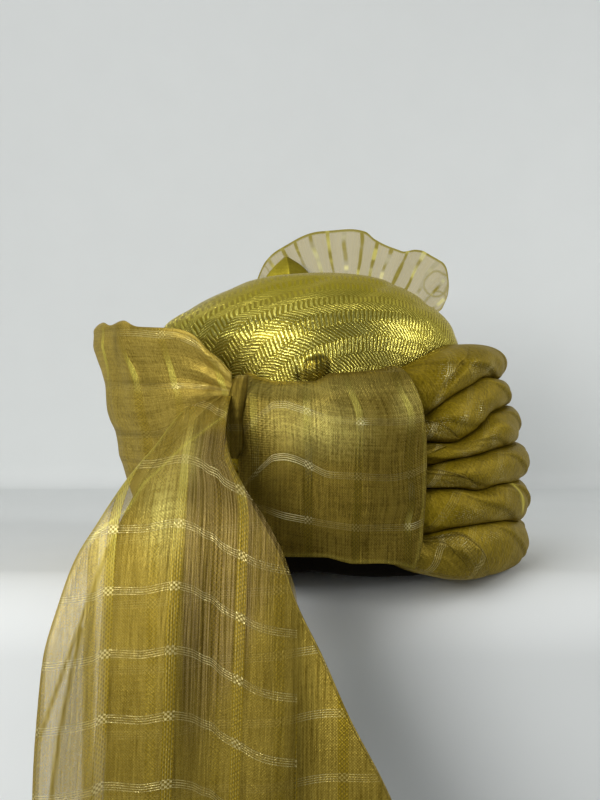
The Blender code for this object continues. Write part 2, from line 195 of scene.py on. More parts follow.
class ClothNodes:
    def __init__(self, name):
        self.material = bpy.data.materials.new(name)
        self.material.use_nodes = True
        self.nodes = self.material.node_tree.nodes
        self.links = self.material.node_tree.links
        self.shader = self.nodes["Principled BSDF"]

    def feed(self, socket, value):
        if isinstance(value, bpy.types.NodeSocket):
            self.links.new(value, socket)
        elif isinstance(value, tuple) and len(value) == 3 and socket.type == "RGBA":
            socket.default_value = (*value, 1.0)
        else:
            socket.default_value = value

    def calc(self, operation, *values, clamp=False):
        node = self.nodes.new("ShaderNodeMath")
        node.operation = operation
        node.use_clamp = clamp
        for socket, value in zip(node.inputs, values):
            self.feed(socket, value)
        return node.outputs[0]

    def chain(self, operation, first, *others):
        for other in others:
            first = self.calc(operation, first, other)
        return first

    def add(self, *values):
        return self.chain("ADD", *values)

    def times(self, *values):
        return self.chain("MULTIPLY", *values)

    def most(self, *values):
        return self.chain("MAXIMUM", *values)

    def span(self, value, low, high, start=0.0, end=1.0):
        node = self.nodes.new("ShaderNodeMapRange")
        node.interpolation_type = "SMOOTHSTEP"
        for socket, item in zip(node.inputs, (value, low, high, start, end)):
            self.feed(socket, item)
        return node.outputs[0]

    def mix(self, factor, first, second):
        node = self.nodes.new("ShaderNodeMix")
        node.data_type = "RGBA"
        self.feed(node.inputs["Factor"], factor)
        self.feed(node.inputs[6], first)
        self.feed(node.inputs[7], second)
        return node.outputs[2]

    def point(self, x, y, z=0.0):
        node = self.nodes.new("ShaderNodeCombineXYZ")
        for socket, value in zip(node.inputs, (x, y, z)):
            self.feed(socket, value)
        return node.outputs[0]

    def noise(self, x, y, detail=1.0, z=0.0):
        node = self.nodes.new("ShaderNodeTexNoise")
        node.inputs["Scale"].default_value = 1.0
        node.inputs["Detail"].default_value = detail
        self.feed(node.inputs["Vector"], self.point(x, y, z))
        return node.outputs["Fac"]

    def speckle(self, s, t, scaleS, scaleT, detail=1.0, z=0.0):
        # noise over the cloth, with its own scale each way
        return self.noise(self.times(s, scaleS), self.times(t, scaleT), detail, z)

    def uneven(self, *noise):
        # the same noise about zero
        return self.add(self.speckle(*noise), -0.5)

    def wave(self, value, pitch):
        return self.calc("SINE", self.times(value, 2 * pi / pitch))

    def basket(self, s, t, pitch):
        # fine checks with one pitch both ways
        return self.times(self.wave(s, pitch), self.wave(t, pitch))

    def fromLine(self, value, pitch):
        # signed distance from the nearest of the lines at every pitch
        return self.calc("WRAP", value, pitch / 2, -pitch / 2)

    def cloth(self):
        # the weave's own coordinates in millimetres
        uv = self.nodes.new("ShaderNodeUVMap")
        uv.uv_map = "cloth"
        split = self.nodes.new("ShaderNodeSeparateXYZ")
        self.links.new(uv.outputs[0], split.inputs[0])
        return self.times(split.outputs[0], 1000.0), self.times(split.outputs[1], 1000.0)

    def fact(self, name):
        node = self.nodes.new("ShaderNodeAttribute")
        node.attribute_name = name
        return node.outputs["Fac"]

    def relief(self, height, depth):
        node = self.nodes.new("ShaderNodeBump")
        node.inputs["Strength"].default_value = 1.0
        node.inputs["Distance"].default_value = depth * mm
        self.feed(node.inputs["Height"], height)
        self.feed(self.shader.inputs["Normal"], node.outputs[0])

    def set(self, **values):
        for name, value in values.items():
            self.feed(self.shader.inputs[name.replace("_", " ")], value)


def threadGroup(cloth, along, across, pitch, count, spacing, seed):
    # a group of thin metallic threads at every pitch, with glints along each thread
    centred = cloth.fromLine(across, pitch)
    inside = cloth.calc("LESS_THAN", cloth.calc("ABSOLUTE", centred), count * spacing / 2)
    turn = cloth.times(centred, 2 * pi / spacing)
    if count % 2 == 0:
        turn = cloth.add(turn, pi)
    thread = cloth.span(cloth.calc("COSINE", turn), 0.0, 0.9)
    glint = cloth.speckle(along, across, 0.3, 1.5, 1.0, seed)
    return inside, cloth.times(inside, thread, cloth.span(glint, 0.36, 0.6, 0.6, 1.0))


# Checked tissue: fine heathered ground, groups of four metal threads one way, denser bands
# the other way, small checks where they cross. The metal shines in chosen places.

# One cloth on every piece; its dark and light tones are set lighter or darker per piece, partly
# painted light and shade for how the light falls on each.
tissueLooks = {
    "band": {"dark": (0.060, 0.039, 0.003), "light": (0.265, 0.190, 0.030),
             "strip": (0.060, 0.042, 0.002), "stripMix": 0.6, "zari": (0.95, 0.86, 0.46),
             "turn": 0.0, "rest": 0.09, "scatter": False, "hatch": 0.2, "grain": 0.75,
             "warp": 1.25, "weft": 0.6, "gloss": 0.38, "metal": 0.6, "alpha": None},
    "wing": {"dark": (0.150, 0.100, 0.010), "light": (0.550, 0.405, 0.080),
             "strip": (0.170, 0.115, 0.006), "stripMix": 0.4, "zari": (0.95, 0.82, 0.34),
             "turn": 0.0, "rest": 0.14, "scatter": False, "hatch": 0.12, "grain": 0.9,
             "warp": 0.5, "weft": 0.7, "gloss": 0.42, "metal": 0.45, "alpha": None},
    "roll": {"dark": (0.104, 0.070, 0.002), "light": (0.335, 0.238, 0.012),
             "strip": (0.140, 0.098, 0.002), "stripMix": 0.0, "zari": (0.98, 0.90, 0.50),
             "turn": 48.0, "rest": 0.08, "scatter": True, "hatch": 0.06, "grain": 1.1,
             "warp": 0.6, "weft": 0.6, "gloss": 0.48, "metal": 0.35, "alpha": None},
    "pleat": {"dark": (0.085, 0.057, 0.002), "light": (0.300, 0.215, 0.024),
              "strip": (0.100, 0.070, 0.003), "stripMix": 0.3, "zari": (0.98, 0.88, 0.46),
              "turn": 62.0, "rest": 0.25, "scatter": True, "hatch": 0.14, "grain": 1.1,
              "warp": 0.6, "weft": 0.5, "gloss": 0.42, "metal": 0.45, "alpha": None},
    "tip": {"dark": (0.160, 0.120, 0.006), "light": (0.420, 0.350, 0.030),
            "strip": (0.300, 0.240, 0.020), "stripMix": 0.2, "zari": (0.90, 0.80, 0.20),
            "turn": 0.0, "rest": 0.0, "scatter": False, "hatch": 0.06, "grain": 0.5,
            "warp": 0.4, "weft": 0.4, "gloss": 0.42, "metal": 0.4, "alpha": None},
    "tail": {"dark": (0.156, 0.103, 0.009), "light": (0.465, 0.342, 0.058),
             "strip": (0.155, 0.105, 0.003), "stripMix": 0.75, "zari": (0.97, 0.84, 0.38),
             "turn": 0.0, "rest": 0.16, "scatter": False, "hatch": 0.14, "grain": 0.7,
             "warp": 1.4, "weft": 0.35, "gloss": 0.40, "metal": 0.45, "alpha": 0.46},
}
# The glow and sheen colours are painted highlights (glow also tints the pale hems), the thin colour a
# painted lightening for light coming through the sheer, and the two wedge colours painted shade.
weave = {"pitch": 26.7, "threads": 4, "spacing": 0.98, "bandWidth": 2.2, "hatch": 1.25,
         "basket": 1.96, "cloud": 0.6, "relief": 0.36, "stripLift": 2.2, "shadeDepth": 0.4,
         "glow": (0.86, 0.76, 0.14), "thin": (0.68, 0.51, 0.10), "edge": (0.80, 0.68, 0.30),
         "paintedSheen": (0.86, 0.74, 0.20), "wedgeShadeDark": (0.050, 0.030, 0.008),
         "wedgeShadeLight": (0.33, 0.235, 0.09)}
# noise scales along s and t, detail, and place in the noise
grains = {"warp": (0.95, 0.04, 3.0, 3.1), "weft": (0.05, 1.05, 3.0, 7.7),
          "grain": (1.15, 0.8, 2.0, 11.3), "cloud": (0.045, 0.045, 3.0, 1.3),
          "spots": (0.085, 0.085, 1.0, 12.5), "sparks": (0.9, 0.9, 1.0, 17.0),
          "streaks": (1.8, 0.012, 2.0, 5.5)}


def turned(cloth, s, t, degrees):
    a = radians(degrees)
    return (cloth.add(cloth.times(s, np.cos(a)), cloth.times(t, np.sin(a))),
            cloth.add(cloth.times(s, -np.sin(a)), cloth.times(t, np.cos(a))))


def tissueMaterial(name):
    look = tissueLooks[name]
    cloth = ClothNodes(name + "Tissue")
    s, t = cloth.cloth()
    if look["turn"]:
        s, t = turned(cloth, s, t, look["turn"])
    warp, weft, grain, cloud = [cloth.uneven(s, t, *grains[kind])
                                for kind in ("warp", "weft", "grain", "cloud")]
    hatch = cloth.basket(s, t, weave["hatch"])
    ground = cloth.add(cloth.times(warp, look["warp"]), cloth.times(weft, look["weft"]),
                       cloth.times(hatch, look["hatch"]), cloth.times(grain, look["grain"]),
                       cloth.times(cloud, weave["cloud"]))
    ground = cloth.calc("ADD", ground, 0.5, clamp=True)
    color = cloth.mix(ground, look["dark"], look["light"])
    # painted glints: where the metal shines, at chosen places and, on rolls and pleats, in random
    # spots away from the back and at chosen sparks
    shine = cloth.most(cloth.fact("glint"), look["rest"])
    if look["scatter"]:
        spots = cloth.times(cloth.span(cloth.speckle(s, t, *grains["spots"]), 0.60, 0.66),
                            cloth.fact("far"))
        sparks = cloth.most(spots, cloth.fact("sparks"))
        shine = cloth.most(shine, cloth.times(sparks, 0.6))
    # on the tail: a painted shade wedge, streaky dark brown, and the sheer left part lightened as
    # painted light coming through it
    if name == "tail":
        streaks = cloth.span(cloth.speckle(s, t, *grains["streaks"]), 0.40, 0.60)
        wedgeShade = cloth.mix(streaks, weave["wedgeShadeDark"], weave["wedgeShadeLight"])
        color = cloth.mix(cloth.fact("wedgeShade"), color, wedgeShade)
        color = cloth.mix(cloth.fact("thin"), color, weave["thin"])
    # rows, bands and the checks where they cross
    pitch, width = weave["pitch"], weave["bandWidth"]
    inRow, lines = threadGroup(cloth, s, t, pitch, weave["threads"], weave["spacing"], 2.0)
    threads = threadGroup(cloth, t, s, pitch, weave["threads"], weave["spacing"], 5.0)[1]
    away = cloth.calc("ABSOLUTE", cloth.fromLine(s, pitch))
    strip = cloth.span(away, width + 0.2, width - 0.2)
    basket = cloth.basket(s, t, weave["basket"])
    stripTone = cloth.mix(cloth.span(basket, -0.4, 0.4), look["strip"],
                          tuple(weave["stripLift"] * c for c in look["strip"]))
    color = cloth.mix(cloth.times(strip, look["stripMix"]), color, stripTone)
    fine = cloth.times(cloth.wave(cloth.add(s, cloth.times(t, 0.5)), 0.9), cloth.wave(t, 1.1))
    # painted highlight: the dense bands turn pale gold at chosen places where the light catches them
    glow = cloth.times(cloth.span(away, width, width - 0.7),
                       cloth.span(fine, -0.5, 0.5, 0.25, 0.95), cloth.fact("glow"))
    knots = cloth.times(inRow, strip, cloth.span(basket, -0.05, 0.12, 0.0, 0.85), shine)
    between = cloth.span(strip, 0.0, 1.0, 1.0, 0.1)
    lines = cloth.most(cloth.times(lines, between, shine), knots)
    lines = cloth.calc("MAXIMUM", lines, cloth.times(threads, shine, 0.22), clamp=True)
    # painted glints: bright flecks of metal in the sparkling spots
    if look["scatter"]:
        fleck = cloth.times(cloth.span(cloth.speckle(s, t, *grains["sparks"]), 0.46, 0.6),
                            cloth.span(hatch, 0.35, 0.65))
        lines = cloth.most(lines, cloth.times(sparks, fleck, 1.1))
    # painted sheen: chosen patches lightened towards pale gold, broken up by the weave
    paintedSheen = cloth.times(cloth.fact("paintedSheen"),
                        cloth.span(cloth.add(warp, weft, grain), -0.3, 0.3, 0.55, 1.3))
    color = cloth.mix(paintedSheen, color, weave["paintedSheen"])
    glow = cloth.calc("MAXIMUM", glow, cloth.fact("selvedge"), clamp=True)
    color = cloth.mix(glow, color, weave["glow"])
    color = cloth.mix(cloth.times(lines, 0.9), color, look["zari"])
    color = cloth.mix(cloth.fact("shade"), color,
                      tuple(weave["shadeDepth"] * c for c in look["dark"]))
    lines = cloth.most(lines, glow)
    metal = cloth.add(cloth.times(lines, 0.85 - look["metal"]), look["metal"])
    cloth.set(Base_Color=color, Roughness=cloth.span(lines, 0.0, 1.0, look["gloss"], 0.3),
              Metallic=metal, Specular_IOR_Level=0.15, Specular_Tint=weave["edge"])
    cloth.relief(cloth.add(ground, cloth.times(lines, 0.7)), weave["relief"])
    if look["alpha"]:
        # sheer between the threads, and solid where the layer is dense
        alpha = cloth.add(cloth.times(cloth.add(ground, -0.45), 0.14), look["alpha"])
        alpha = cloth.span(cloth.fact("dense"), 0.0, 1.0, alpha, 1.0)
        covered = cloth.most(cloth.times(strip, 0.8), cloth.times(lines, 0.95),
                             cloth.times(cloth.fact("paintedSheen"), 0.95))
        cloth.set(Alpha=cloth.calc("MAXIMUM", alpha, covered, clamp=True))
    return cloth.material


# Crown: a smooth dome of herringbone brocade

crown = {
    "reach":     (0, 20.0, 35.5, 53.5, 67.0, 78.0, 84.0, 90.5, 98.5, 104.5, 106.5, 108.0, 107.6,
                  105.0, 103.4, 102.0),
    "width":     (0, 17.0, 30.5, 46.0, 57.5, 66.8, 72.0, 77.6, 84.5, 89.5, 91.2, 92.5, 92.2,
                  90.0, 88.4, 87.0),
    "height":    (176.4, 175.5, 173.6, 170.5, 165.5, 160.4, 157.0, 152.8, 147.5, 142.0, 137.0,
                  131.4, 124.5, 100.0, 60.0, 26.0),
    "shift":     (-8.0, -6.6, -5.6, -4.0, -2.9, -1.8, -1.1, -0.4, 1.0, 2.2, 2.0, 1.5, 1.0, 0, 0, 0),
    "wall": 2.5, "pleatDepth": 1.15, "pleatWidth": 21.0, "pleatSlant": 28.0, "clothTurn": 20.0,
    "coveredBelow": 118.0, "visibleRows": 132, "coveredRows": 12,
    "pouch": {"across": -1.0, "height": 114.0, "wide": 9.5, "tall": 7.8, "tilt": 0.25, "out": 4.2},
}
# The pouch colour is painted shade for the pouch's recess; the flat colour also stands in for the
# grazing light on the top.
brocadeLook = {"ridge": (0.88, 0.80, 0.20), "gap": (0.235, 0.185, 0.014),
               "flat": (0.34, 0.285, 0.038), "pouch": (0.12, 0.085, 0.008), "spacing": 3.15,
               "rowWidth": 8.2, "lean": 0.37, "leanChange": -0.0042, "zigzag": 0.63,
               "zigzagChange": -0.0028, "metal": (0.7, 0.95), "gloss": (0.31, 0.24),
               "relief": 0.42}
profileNames = ("reach", "width", "height", "shift")


def crownProfile():
    # the profile by distance along the cloth from the top
    reach, height = np.array(crown["reach"]), np.array(crown["height"])
    steps = np.hypot(np.diff(reach), np.diff(height))
    table = {"run": np.concatenate([[0], np.cumsum(steps)])}
    for name in profileNames:
        table[name] = crown[name]
    return table


crownRun = crownProfile()
fullSide = {name: crown[name][::-1] for name in profileNames}


def ovalRadius(bearing, halfX, halfY):
    b = np.radians(bearing)
    return 1.0 / np.sqrt((np.sin(b) / halfX) ** 2 + (np.cos(b) / halfY) ** 2)


def placed(bearing, radius, height):
    b = np.radians(bearing)
    x = -radius * np.sin(b)
    return np.stack([x, radius * np.cos(b), height + 0 * x], -1)


def crownSide(bearing, height, out=0.0):
    halfX = np.interp(height, fullSide["height"], fullSide["width"]) + out
    halfY = np.interp(height, fullSide["height"], fullSide["reach"]) + out
    points = placed(bearing, ovalRadius(bearing, halfX, halfY), height)
    points[..., 0] += np.interp(height, fullSide["height"], fullSide["shift"])
    return points


def pouchEdge(x, height):
    # distance from the middle of the gathered pouch, 1 on its outline
    pouch = crown["pouch"]
    aside = x - pouch["across"]
    drop = height - pouch["height"] + pouch["tilt"] * aside
    return np.hypot(aside / pouch["wide"], drop / pouch["tall"])


def pouchSwell(x, height):
    # a rounded fold that stands out of the dome, puckered along rays from its top
    pouch = crown["pouch"]
    inside = np.clip(1 - pouchEdge(x, height) ** 2, 0, 1)
    ray = np.arctan2(x - pouch["across"], pouch["height"] + 14 - height)
    return pouch["out"] * inside ** 0.7 * (1 + 0.12 * np.cos(ray * 30))


def crownDome(u, v):
    bearing = 360 * u
    run = crownRun["run"][-1] * v
    width = curve(crownRun, "width", run)
    reach = curve(crownRun, "reach", run)
    height = curve(crownRun, "height", run)
    radius = ovalRadius(bearing, np.maximum(width, 0.01), np.maximum(reach, 0.01))
    points = placed(bearing, radius, height)
    points[..., 0] += curve(crownRun, "shift", run)
    # soft pleats from lower left to upper right
    slant = radians(crown["pleatSlant"])
    across = height * np.cos(slant) + points[..., 0] * np.sin(slant)
    across = across + 2.0 * softNoise(points[..., 0] / 45, points[..., 1] / 45, 4)
    groove = (0.5 + 0.5 * np.cos(2 * pi * across / crown["pleatWidth"])) ** 3
    sink = crown["pleatDepth"] * groove * smooth(146, 158, height) * smooth(174, 166, height)
    sink = sink + 0.3 * softNoise(points[..., 0] / 14, points[..., 1] / 14, 8) * smooth(5, 40, run)
    points[..., 2] -= sink * smooth(110, 140, height)
    # gathered pouch above the dip in the band
    swell = pouchSwell(points[..., 0], points[..., 2]) * (points[..., 1] > 0)
    b = np.radians(bearing)
    points[..., 0] -= swell * np.sin(b)
    points[..., 1] += swell * np.cos(b)
    # the cloth lies like one flat piece stretched down from the top
    turnCloth = radians(crown["clothTurn"])
    x, y = run * np.sin(b), run * np.cos(b)
    s = x * np.cos(turnCloth) - y * np.sin(turnCloth)
    t = x * np.sin(turnCloth) + y * np.cos(turnCloth)
    return points, s, t


def brocadeMaterial():
    look = brocadeLook
    cloth = ClothNodes("herringboneBrocade")
    s, t = cloth.cloth()
    wobble = cloth.uneven(s, t, 0.12, 0.12, 2.0, 4.4)
    t = cloth.add(t, cloth.times(wobble, 3.0))
    lean = cloth.add(cloth.times(s, look["leanChange"]), look["lean"])
    bend = cloth.add(cloth.times(s, look["zigzagChange"]), look["zigzag"])
    zigzag = cloth.calc("PINGPONG", t, look["rowWidth"])
    lane = cloth.add(s, cloth.times(lean, cloth.add(t, -80.0), -1.0),
                     cloth.times(bend, zigzag, -1.0))
    shiver = cloth.uneven(s, t, 0.33, 0.33, 2.0, 6.1)
    lane = cloth.add(lane, cloth.times(wobble, 1.2), cloth.times(shiver, 1.5))
    row = cloth.calc("FLOOR", cloth.times(t, 1.0 / look["rowWidth"]))
    lane = cloth.add(lane, cloth.times(cloth.calc("PINGPONG", row, 1.0), look["spacing"] * 0.3))
    cycle = cloth.times(lane, 2 * pi / look["spacing"])
    number = cloth.calc("FLOOR", cloth.times(lane, 1.0 / look["spacing"]))
    stroke = cloth.uneven(number, row, 0.37, 0.61, 1.0, 40.0)
    middle = cloth.calc("ABSOLUTE", cloth.add(zigzag, -look["rowWidth"] / 2))
    ends = cloth.span(middle, look["rowWidth"] * 0.49, look["rowWidth"] * 0.36)
    width = cloth.add(cloth.times(stroke, 1.5), cloth.times(ends, 0.5), -0.35)
    ridge = cloth.span(cloth.add(cloth.calc("COSINE", cycle), width), -0.45, 0.55)
    fine = cloth.speckle(s, t, 1.1, 1.1, 2.0, 9.0)
    tone = cloth.speckle(s, t, 0.03, 0.03, 3.0, 2.2)
    flat = cloth.fact("flat")
    ridgeTone = cloth.times(ridge, cloth.span(fine, 0.3, 0.7, 0.55, 1.0))
    color = cloth.mix(ridgeTone, look["gap"], look["ridge"])
    # random tone and painted light: flat olive in random patches, and on the top of the dome, where
    # the light grazes it, a painted flat olive with faint pattern
    toneAndPaintedTop = cloth.add(cloth.span(tone, 0.3, 0.75, 0.0, 0.2), cloth.times(flat, 0.72))
    color = cloth.mix(toneAndPaintedTop, color, look["flat"])
    # painted shade: the gathered pouch darkened as a recess, and a painted shadow along its lower
    # outline
    color = cloth.mix(cloth.span(cloth.fact("pouch"), 0.04, 0.45, 0.0, 0.8), color, look["pouch"])
    color = cloth.mix(cloth.fact("creaseShadow"), color, tuple(0.15 * c for c in look["pouch"]))
    cloth.set(Base_Color=color, Metallic=cloth.span(ridge, 0.0, 1.0, *look["metal"]),
              Roughness=cloth.span(ridge, 0.0, 1.0, *look["gloss"]), Specular_IOR_Level=0.15,
              Specular_Tint=weave["edge"])
    height = cloth.times(cloth.add(ridge, cloth.times(fine, 0.7)),
                         cloth.span(flat, 0.0, 1.0, 1.0, 0.25),
                         cloth.span(cloth.fact("pouch"), 0.1, 0.6, 1.0, 0.5))
    cloth.relief(height, look["relief"])
    return cloth.material


def plainMaterial(name, color, roughness=0.8, grain=0.25):
    cloth = ClothNodes(name)
    s, t = cloth.cloth()
    tone = cloth.add(cloth.times(cloth.basket(s, t, 0.8), 0.15),
                     cloth.times(cloth.speckle(s, t, 0.8, 0.8, 3.0), 0.7), 0.1)
    cloth.set(Base_Color=cloth.mix(tone, tuple(0.55 * c for c in color), color),
              Roughness=roughness, Specular_IOR_Level=0.1)
    cloth.relief(tone, grain)
    return cloth.material


def buildCrown():
    turns = np.concatenate([np.arange(-9, 9, 0.3), np.linspace(9, 351, 270, endpoint=False)])
    columns = len(turns)
    edge = np.interp(-crown["coveredBelow"], -np.array(crown["height"]), crownRun["run"])
    whole = crownRun["run"][-1]
    runs = np.concatenate([np.linspace(0.6, edge, crown["visibleRows"]),
                           np.linspace(edge, whole, crown["coveredRows"] + 1)[1:]])
    u, v = np.meshgrid(turns / 360, runs / whole)
    points, s, t = crownDome(u, v)
    top = np.array([[crown["shift"][0], 0.0, crown["height"][0]]])
    points = np.concatenate([points.reshape(-1, 3), top])
    cloth = np.concatenate([np.stack([s, t], -1).reshape(-1, 2), [[0, 0]]]) * mm
    faces = [face[::-1] for face in gridFaces(columns, len(runs), closed=True)]
    last = len(points) - 1
    faces += [(last, i, (i + 1) % columns) for i in range(columns)]
    x, y, height = points.T
    # flat marks the top for its painted grazing-light look, pouch the painted shade of the pouch, and
    # the crease value a painted shadow along the pouch's lower outline
    facts = {"flat": smooth(140, 166, height),
             "pouch": pouchSwell(x, height) / crown["pouch"]["out"] * (y > 0),
             "creaseShadow": softLine(pouchEdge(x, height), 1, 0.2) * (y > 0) * smooth(119, 112, height)}
    piece = meshFrom("crownBrocade", points, faces, cloth, facts)
    thicken = piece.modifiers.new("wall", "SOLIDIFY")
    thicken.thickness = crown["wall"] * mm
    thicken.offset = -1.0
    thicken.material_offset = 1
    thicken.material_offset_rim = 1
    finishPiece(piece, brocadeMaterial(), "brocade", "crown_cap")
    piece.data.materials.append(plainMaterial("cottonLining", (0.16, 0.12, 0.07)))
    return piece


buildCrown()
print("crown built")


# Head band at the rim, lifted at the nape

headBand = {"bearing": (0, 8, 14, 27, 40, 54, 180), "height": (7.5, 5.5, 4.0, 2.0, 0.6, 0.0, 0.0),
            "top": 25.6, "wall": 2.5, "meanReach": 95, "color": (0.008, 0.006, 0.003)}


def buildHeadBand():
    bearing = roundTurn
    turn = np.minimum(bearing, 360 - bearing)
    foot = curve(headBand, "height", turn)
    top = headBand["top"] + 0 * foot
    wall = headBand["wall"]
    ring = []
    for share in (1.0, 0.75, 0.5, 0.25, 0.08):
        swell = 0.35 * np.sin(pi * share)
        ring.append(crownSide(bearing, foot + (top - foot) * share, swell))
    for depth, rise in ((0.0, 0.5), (0.3, 0.12), (0.5, 0.0), (0.7, 0.12), (1.0, 0.5)):
        ring.append(crownSide(bearing, foot + rise, -wall * depth))
    for share in (0.3, 0.6, 1.0):
        ring.append(crownSide(bearing, foot + (top - foot) * share, -wall))
    points = np.stack(ring, 0)
    rows, columns = len(ring), len(bearing)
    along = np.radians(bearing) * headBand["meanReach"]
    cloth = np.stack(np.broadcast_arrays(along, np.arange(rows)[:, None] * 4.0), -1)
    faces = gridFaces(columns, rows, closed=True)
    for i in range(columns):
        k = (i + 1) % columns
        faces.append(((rows - 1) * columns + i, (rows - 1) * columns + k, k, i))
    piece = meshFrom("headBandCloth", points.reshape(-1, 3), faces, cloth.reshape(-1, 2) * mm)
    return finishPiece(piece, plainMaterial("darkBandCloth", headBand["color"], 0.9), "head_band",
                       "rim_band")


buildHeadBand()
print("head band built")


# Wound rolls

rolls = {
    "right": (120.0, 123.5, 129.0, 133.5, 133.5, 133.5),
    "front": (134.0, 139.0, 144.0, 148.0, 148.0, 147.0),
    "left":  (112.0, 111.0, 109.5, 107.5, 105.0, 102.0),
    "back":  (128.5, 128.5, 128.5, 128.5, 128.5, 128.5),
    "upperInset": (17.0, 7.0, 7.0, 7.5, 7.5, 7.5),
    "lowerInset": (6.5, 7.0, 7.5, 7.5, 7.5, 10.0),
    "start": -9, "end": 342, "roundness": 1.0, "pinch": 4.5,
    "layerWidth": 19.0, "layerStep": 1.5, "wrinkle": 1.1, "slant": 0.32,
    "meanReach": 130.0, "clothWidth": 26, "clothStep": 9.1,
    "fold": {"roll": 1, "share": 0.52, "rise": 0.024, "bearing": 38, "width": 0.045, "depth": 3.2},
    "glowLine": {"roll": 5, "bearing": 66.5, "lean": 5.0, "width": 1.1, "gain": 0.65},
    # sparks: painted glints, chosen places where the metal sparkles on each roll
    "sparks": {1: ((-71, 112.5, 4, 5, 1.0), (-67, 96.5, 3, 3, 0.9), (-88, 115, 3, 5, 0.8),
                   (-100, 115, 3, 4, 0.9)),
               2: ((-91, 93, 2.5, 4, 1.0), (-99.5, 91.5, 2, 3, 0.9), (-80, 88.5, 3, 2, 0.8),
                   (-69, 86.5, 3, 3, 0.8)),
               3: ((-100, 75, 2.5, 6, 0.9), (-81, 69.5, 4, 2.5, 0.7), (-113, 75, 2, 8, 0.6)),
               4: ((-104, 56.5, 2.5, 8, 0.55),),
               5: ((-108, 34, 6, 3, 0.6), (-84, 37.5, 9, 4, 0.5)),
               6: ((-97, 24, 8, 3, 0.4),)},
}
seams = {
    "bearing": (-9, 0, 10, 19, 24, 28, 37, 46, 56, 80, 110, 140, 180, 220, 250, 280, 310, 342),
    "crest":   (101, 102, 104, 108, 112, 116, 122.5, 127.5, 130, 131.5, 134, 140, 146, 142,
                136, 131, 124, 106),
    "seam1":   (86, 86.5, 87.5, 88, 88.3, 88.7, 99, 105.6, 110.8, 110, 112, 117, 122, 119,
                114, 110, 104, 90),
    "seam2":   (72, 72.5, 73.5, 75, 75.5, 75.9, 74.9, 80.2, 90.2, 94.4, 96, 100, 105, 102,
                98, 94, 88, 75),
    "seam3":   (60, 60.5, 61.5, 62.5, 62.8, 63, 66.4, 67.8, 70.2, 71.9, 73, 77, 80, 78,
                75, 71.5, 68, 60),
    "seam4":   (47, 47.5, 49, 50.5, 51.2, 51.7, 51.2, 48.9, 50.7, 50, 51, 53, 56, 54,
                52, 49.5, 48, 45),
    "seam5":   (33, 32, 30, 28.5, 28, 27.4, 30.1, 30.5, 30, 25.2, 26, 27, 29, 28,
                27, 26, 27, 30),
    "foot":    (22.5, 22.2, 19.5, 14.5, 10.5, 7.2, 2.2, 0.3, 0.3, 0.3, 0.3, 0.3, 0.3, 0.3,
                0.5, 1, 5, 15),
}
seamNames = ("crest", "seam1", "seam2", "seam3", "seam4", "seam5", "foot")


def rollReach(index, bearing):
    b = np.radians(bearing)
    halfX = np.where(np.sin(b) > 0, rolls["right"][index - 1], rolls["left"][index - 1])
    halfY = np.where(np.cos(b) > 0, rolls["back"][index - 1], rolls["front"][index - 1])
    turn = np.where(np.asarray(bearing) < 180, bearing, np.asarray(bearing) - 360)
    pinch = np.where(turn > -10, 1 - smooth(22, 38, turn), 1 - smooth(18, 50, -turn))
    return ovalRadius(bearing, halfX, halfY) - rolls["pinch"] * pinch


def rollHeights(index, bearing):
    turn = np.where(np.asarray(bearing) >= rolls["start"], bearing, np.asarray(bearing) + 360)
    top = curve(seams, seamNames[index - 1], turn)
    bottom = curve(seams, seamNames[index], turn)
    return bottom + 0.1, top - 0.1


def rollLap(index, bearing, share):
    # the way along the roll and across its wound layers, and the share of a layer passed
    along = np.radians(bearing) * rolls["meanReach"]
    across = (share * rolls["clothWidth"] + along * rolls["slant"] + rolls["clothStep"] * index
              + 3 * softNoise(along / 70, index, 21))
    return along, across, (across / rolls["layerWidth"]) % 1.0


def rollWrinkle(index, bearing, share):
    # wound layers, each lapping a little over the next, with long soft creases
    along, across, lap = rollLap(index, bearing, share)
    step = rolls["layerStep"] * (smooth(0.0, 0.07, lap) * (1 - lap) - 0.3)
    creases = softNoise(along / 34, across / 4.2, 30 + index)
    folds = -np.abs(softNoise(along / 60, across / 7.0, 50 + index))
    lumps = softNoise(along / 22, share * 1.2, 70 + index)
    fold = rolls["fold"]
    if index == fold["roll"]:
        line = fold["share"] + fold["rise"] * (bearing - fold["bearing"])
        step = step - fold["depth"] * (softLine(share, line, fold["width"])
                                       * smooth(30, 38, bearing) * smooth(64, 54, bearing))
    edge = np.clip(np.sin(pi * np.clip(share, 0, 1)), 0, 1) ** 0.6
    return (step + rolls["wrinkle"] * (0.55 * creases + 0.9 * folds + 0.3) + 0.7 * lumps) * edge


def rollEdges(index, bearing, share):
    # thin dark lines where one wound layer ends on the next
    lap = rollLap(index, bearing, share)[2]
    return 0.55 * softLine(np.minimum(lap, 1 - lap) * rolls["layerWidth"], 0, 0.55)


def rollGlow(index, bearing, share):
    # one bright upright thread line
    line = rolls["glowLine"]
    away = bearing - line["bearing"] + line["lean"] * np.maximum(share - 0.45, 0)
    return (index == line["roll"]) * line["gain"] * softLine(away, 0, line["width"]) * smooth(
        0.2, 0.45, share)


def rollSkin(index, bearing, share, lift=0.0, wrinkled=True):
    bottom, top = rollHeights(index, bearing)
    angle = (share - 0.5) * pi
    inset = np.where(share > 0.5, rolls["upperInset"][index - 1], rolls["lowerInset"][index - 1])
    radius = rollReach(index, bearing) - inset * (1 - np.abs(np.cos(angle)) ** rolls["roundness"])
    bend = np.abs(np.sin(angle)) ** rolls["roundness"] * np.sign(angle)
    if wrinkled:
        radius = radius + rollWrinkle(index, bearing, share)
    return placed(bearing, radius + lift, (bottom + top) / 2 + bend * (top - bottom) / 2)


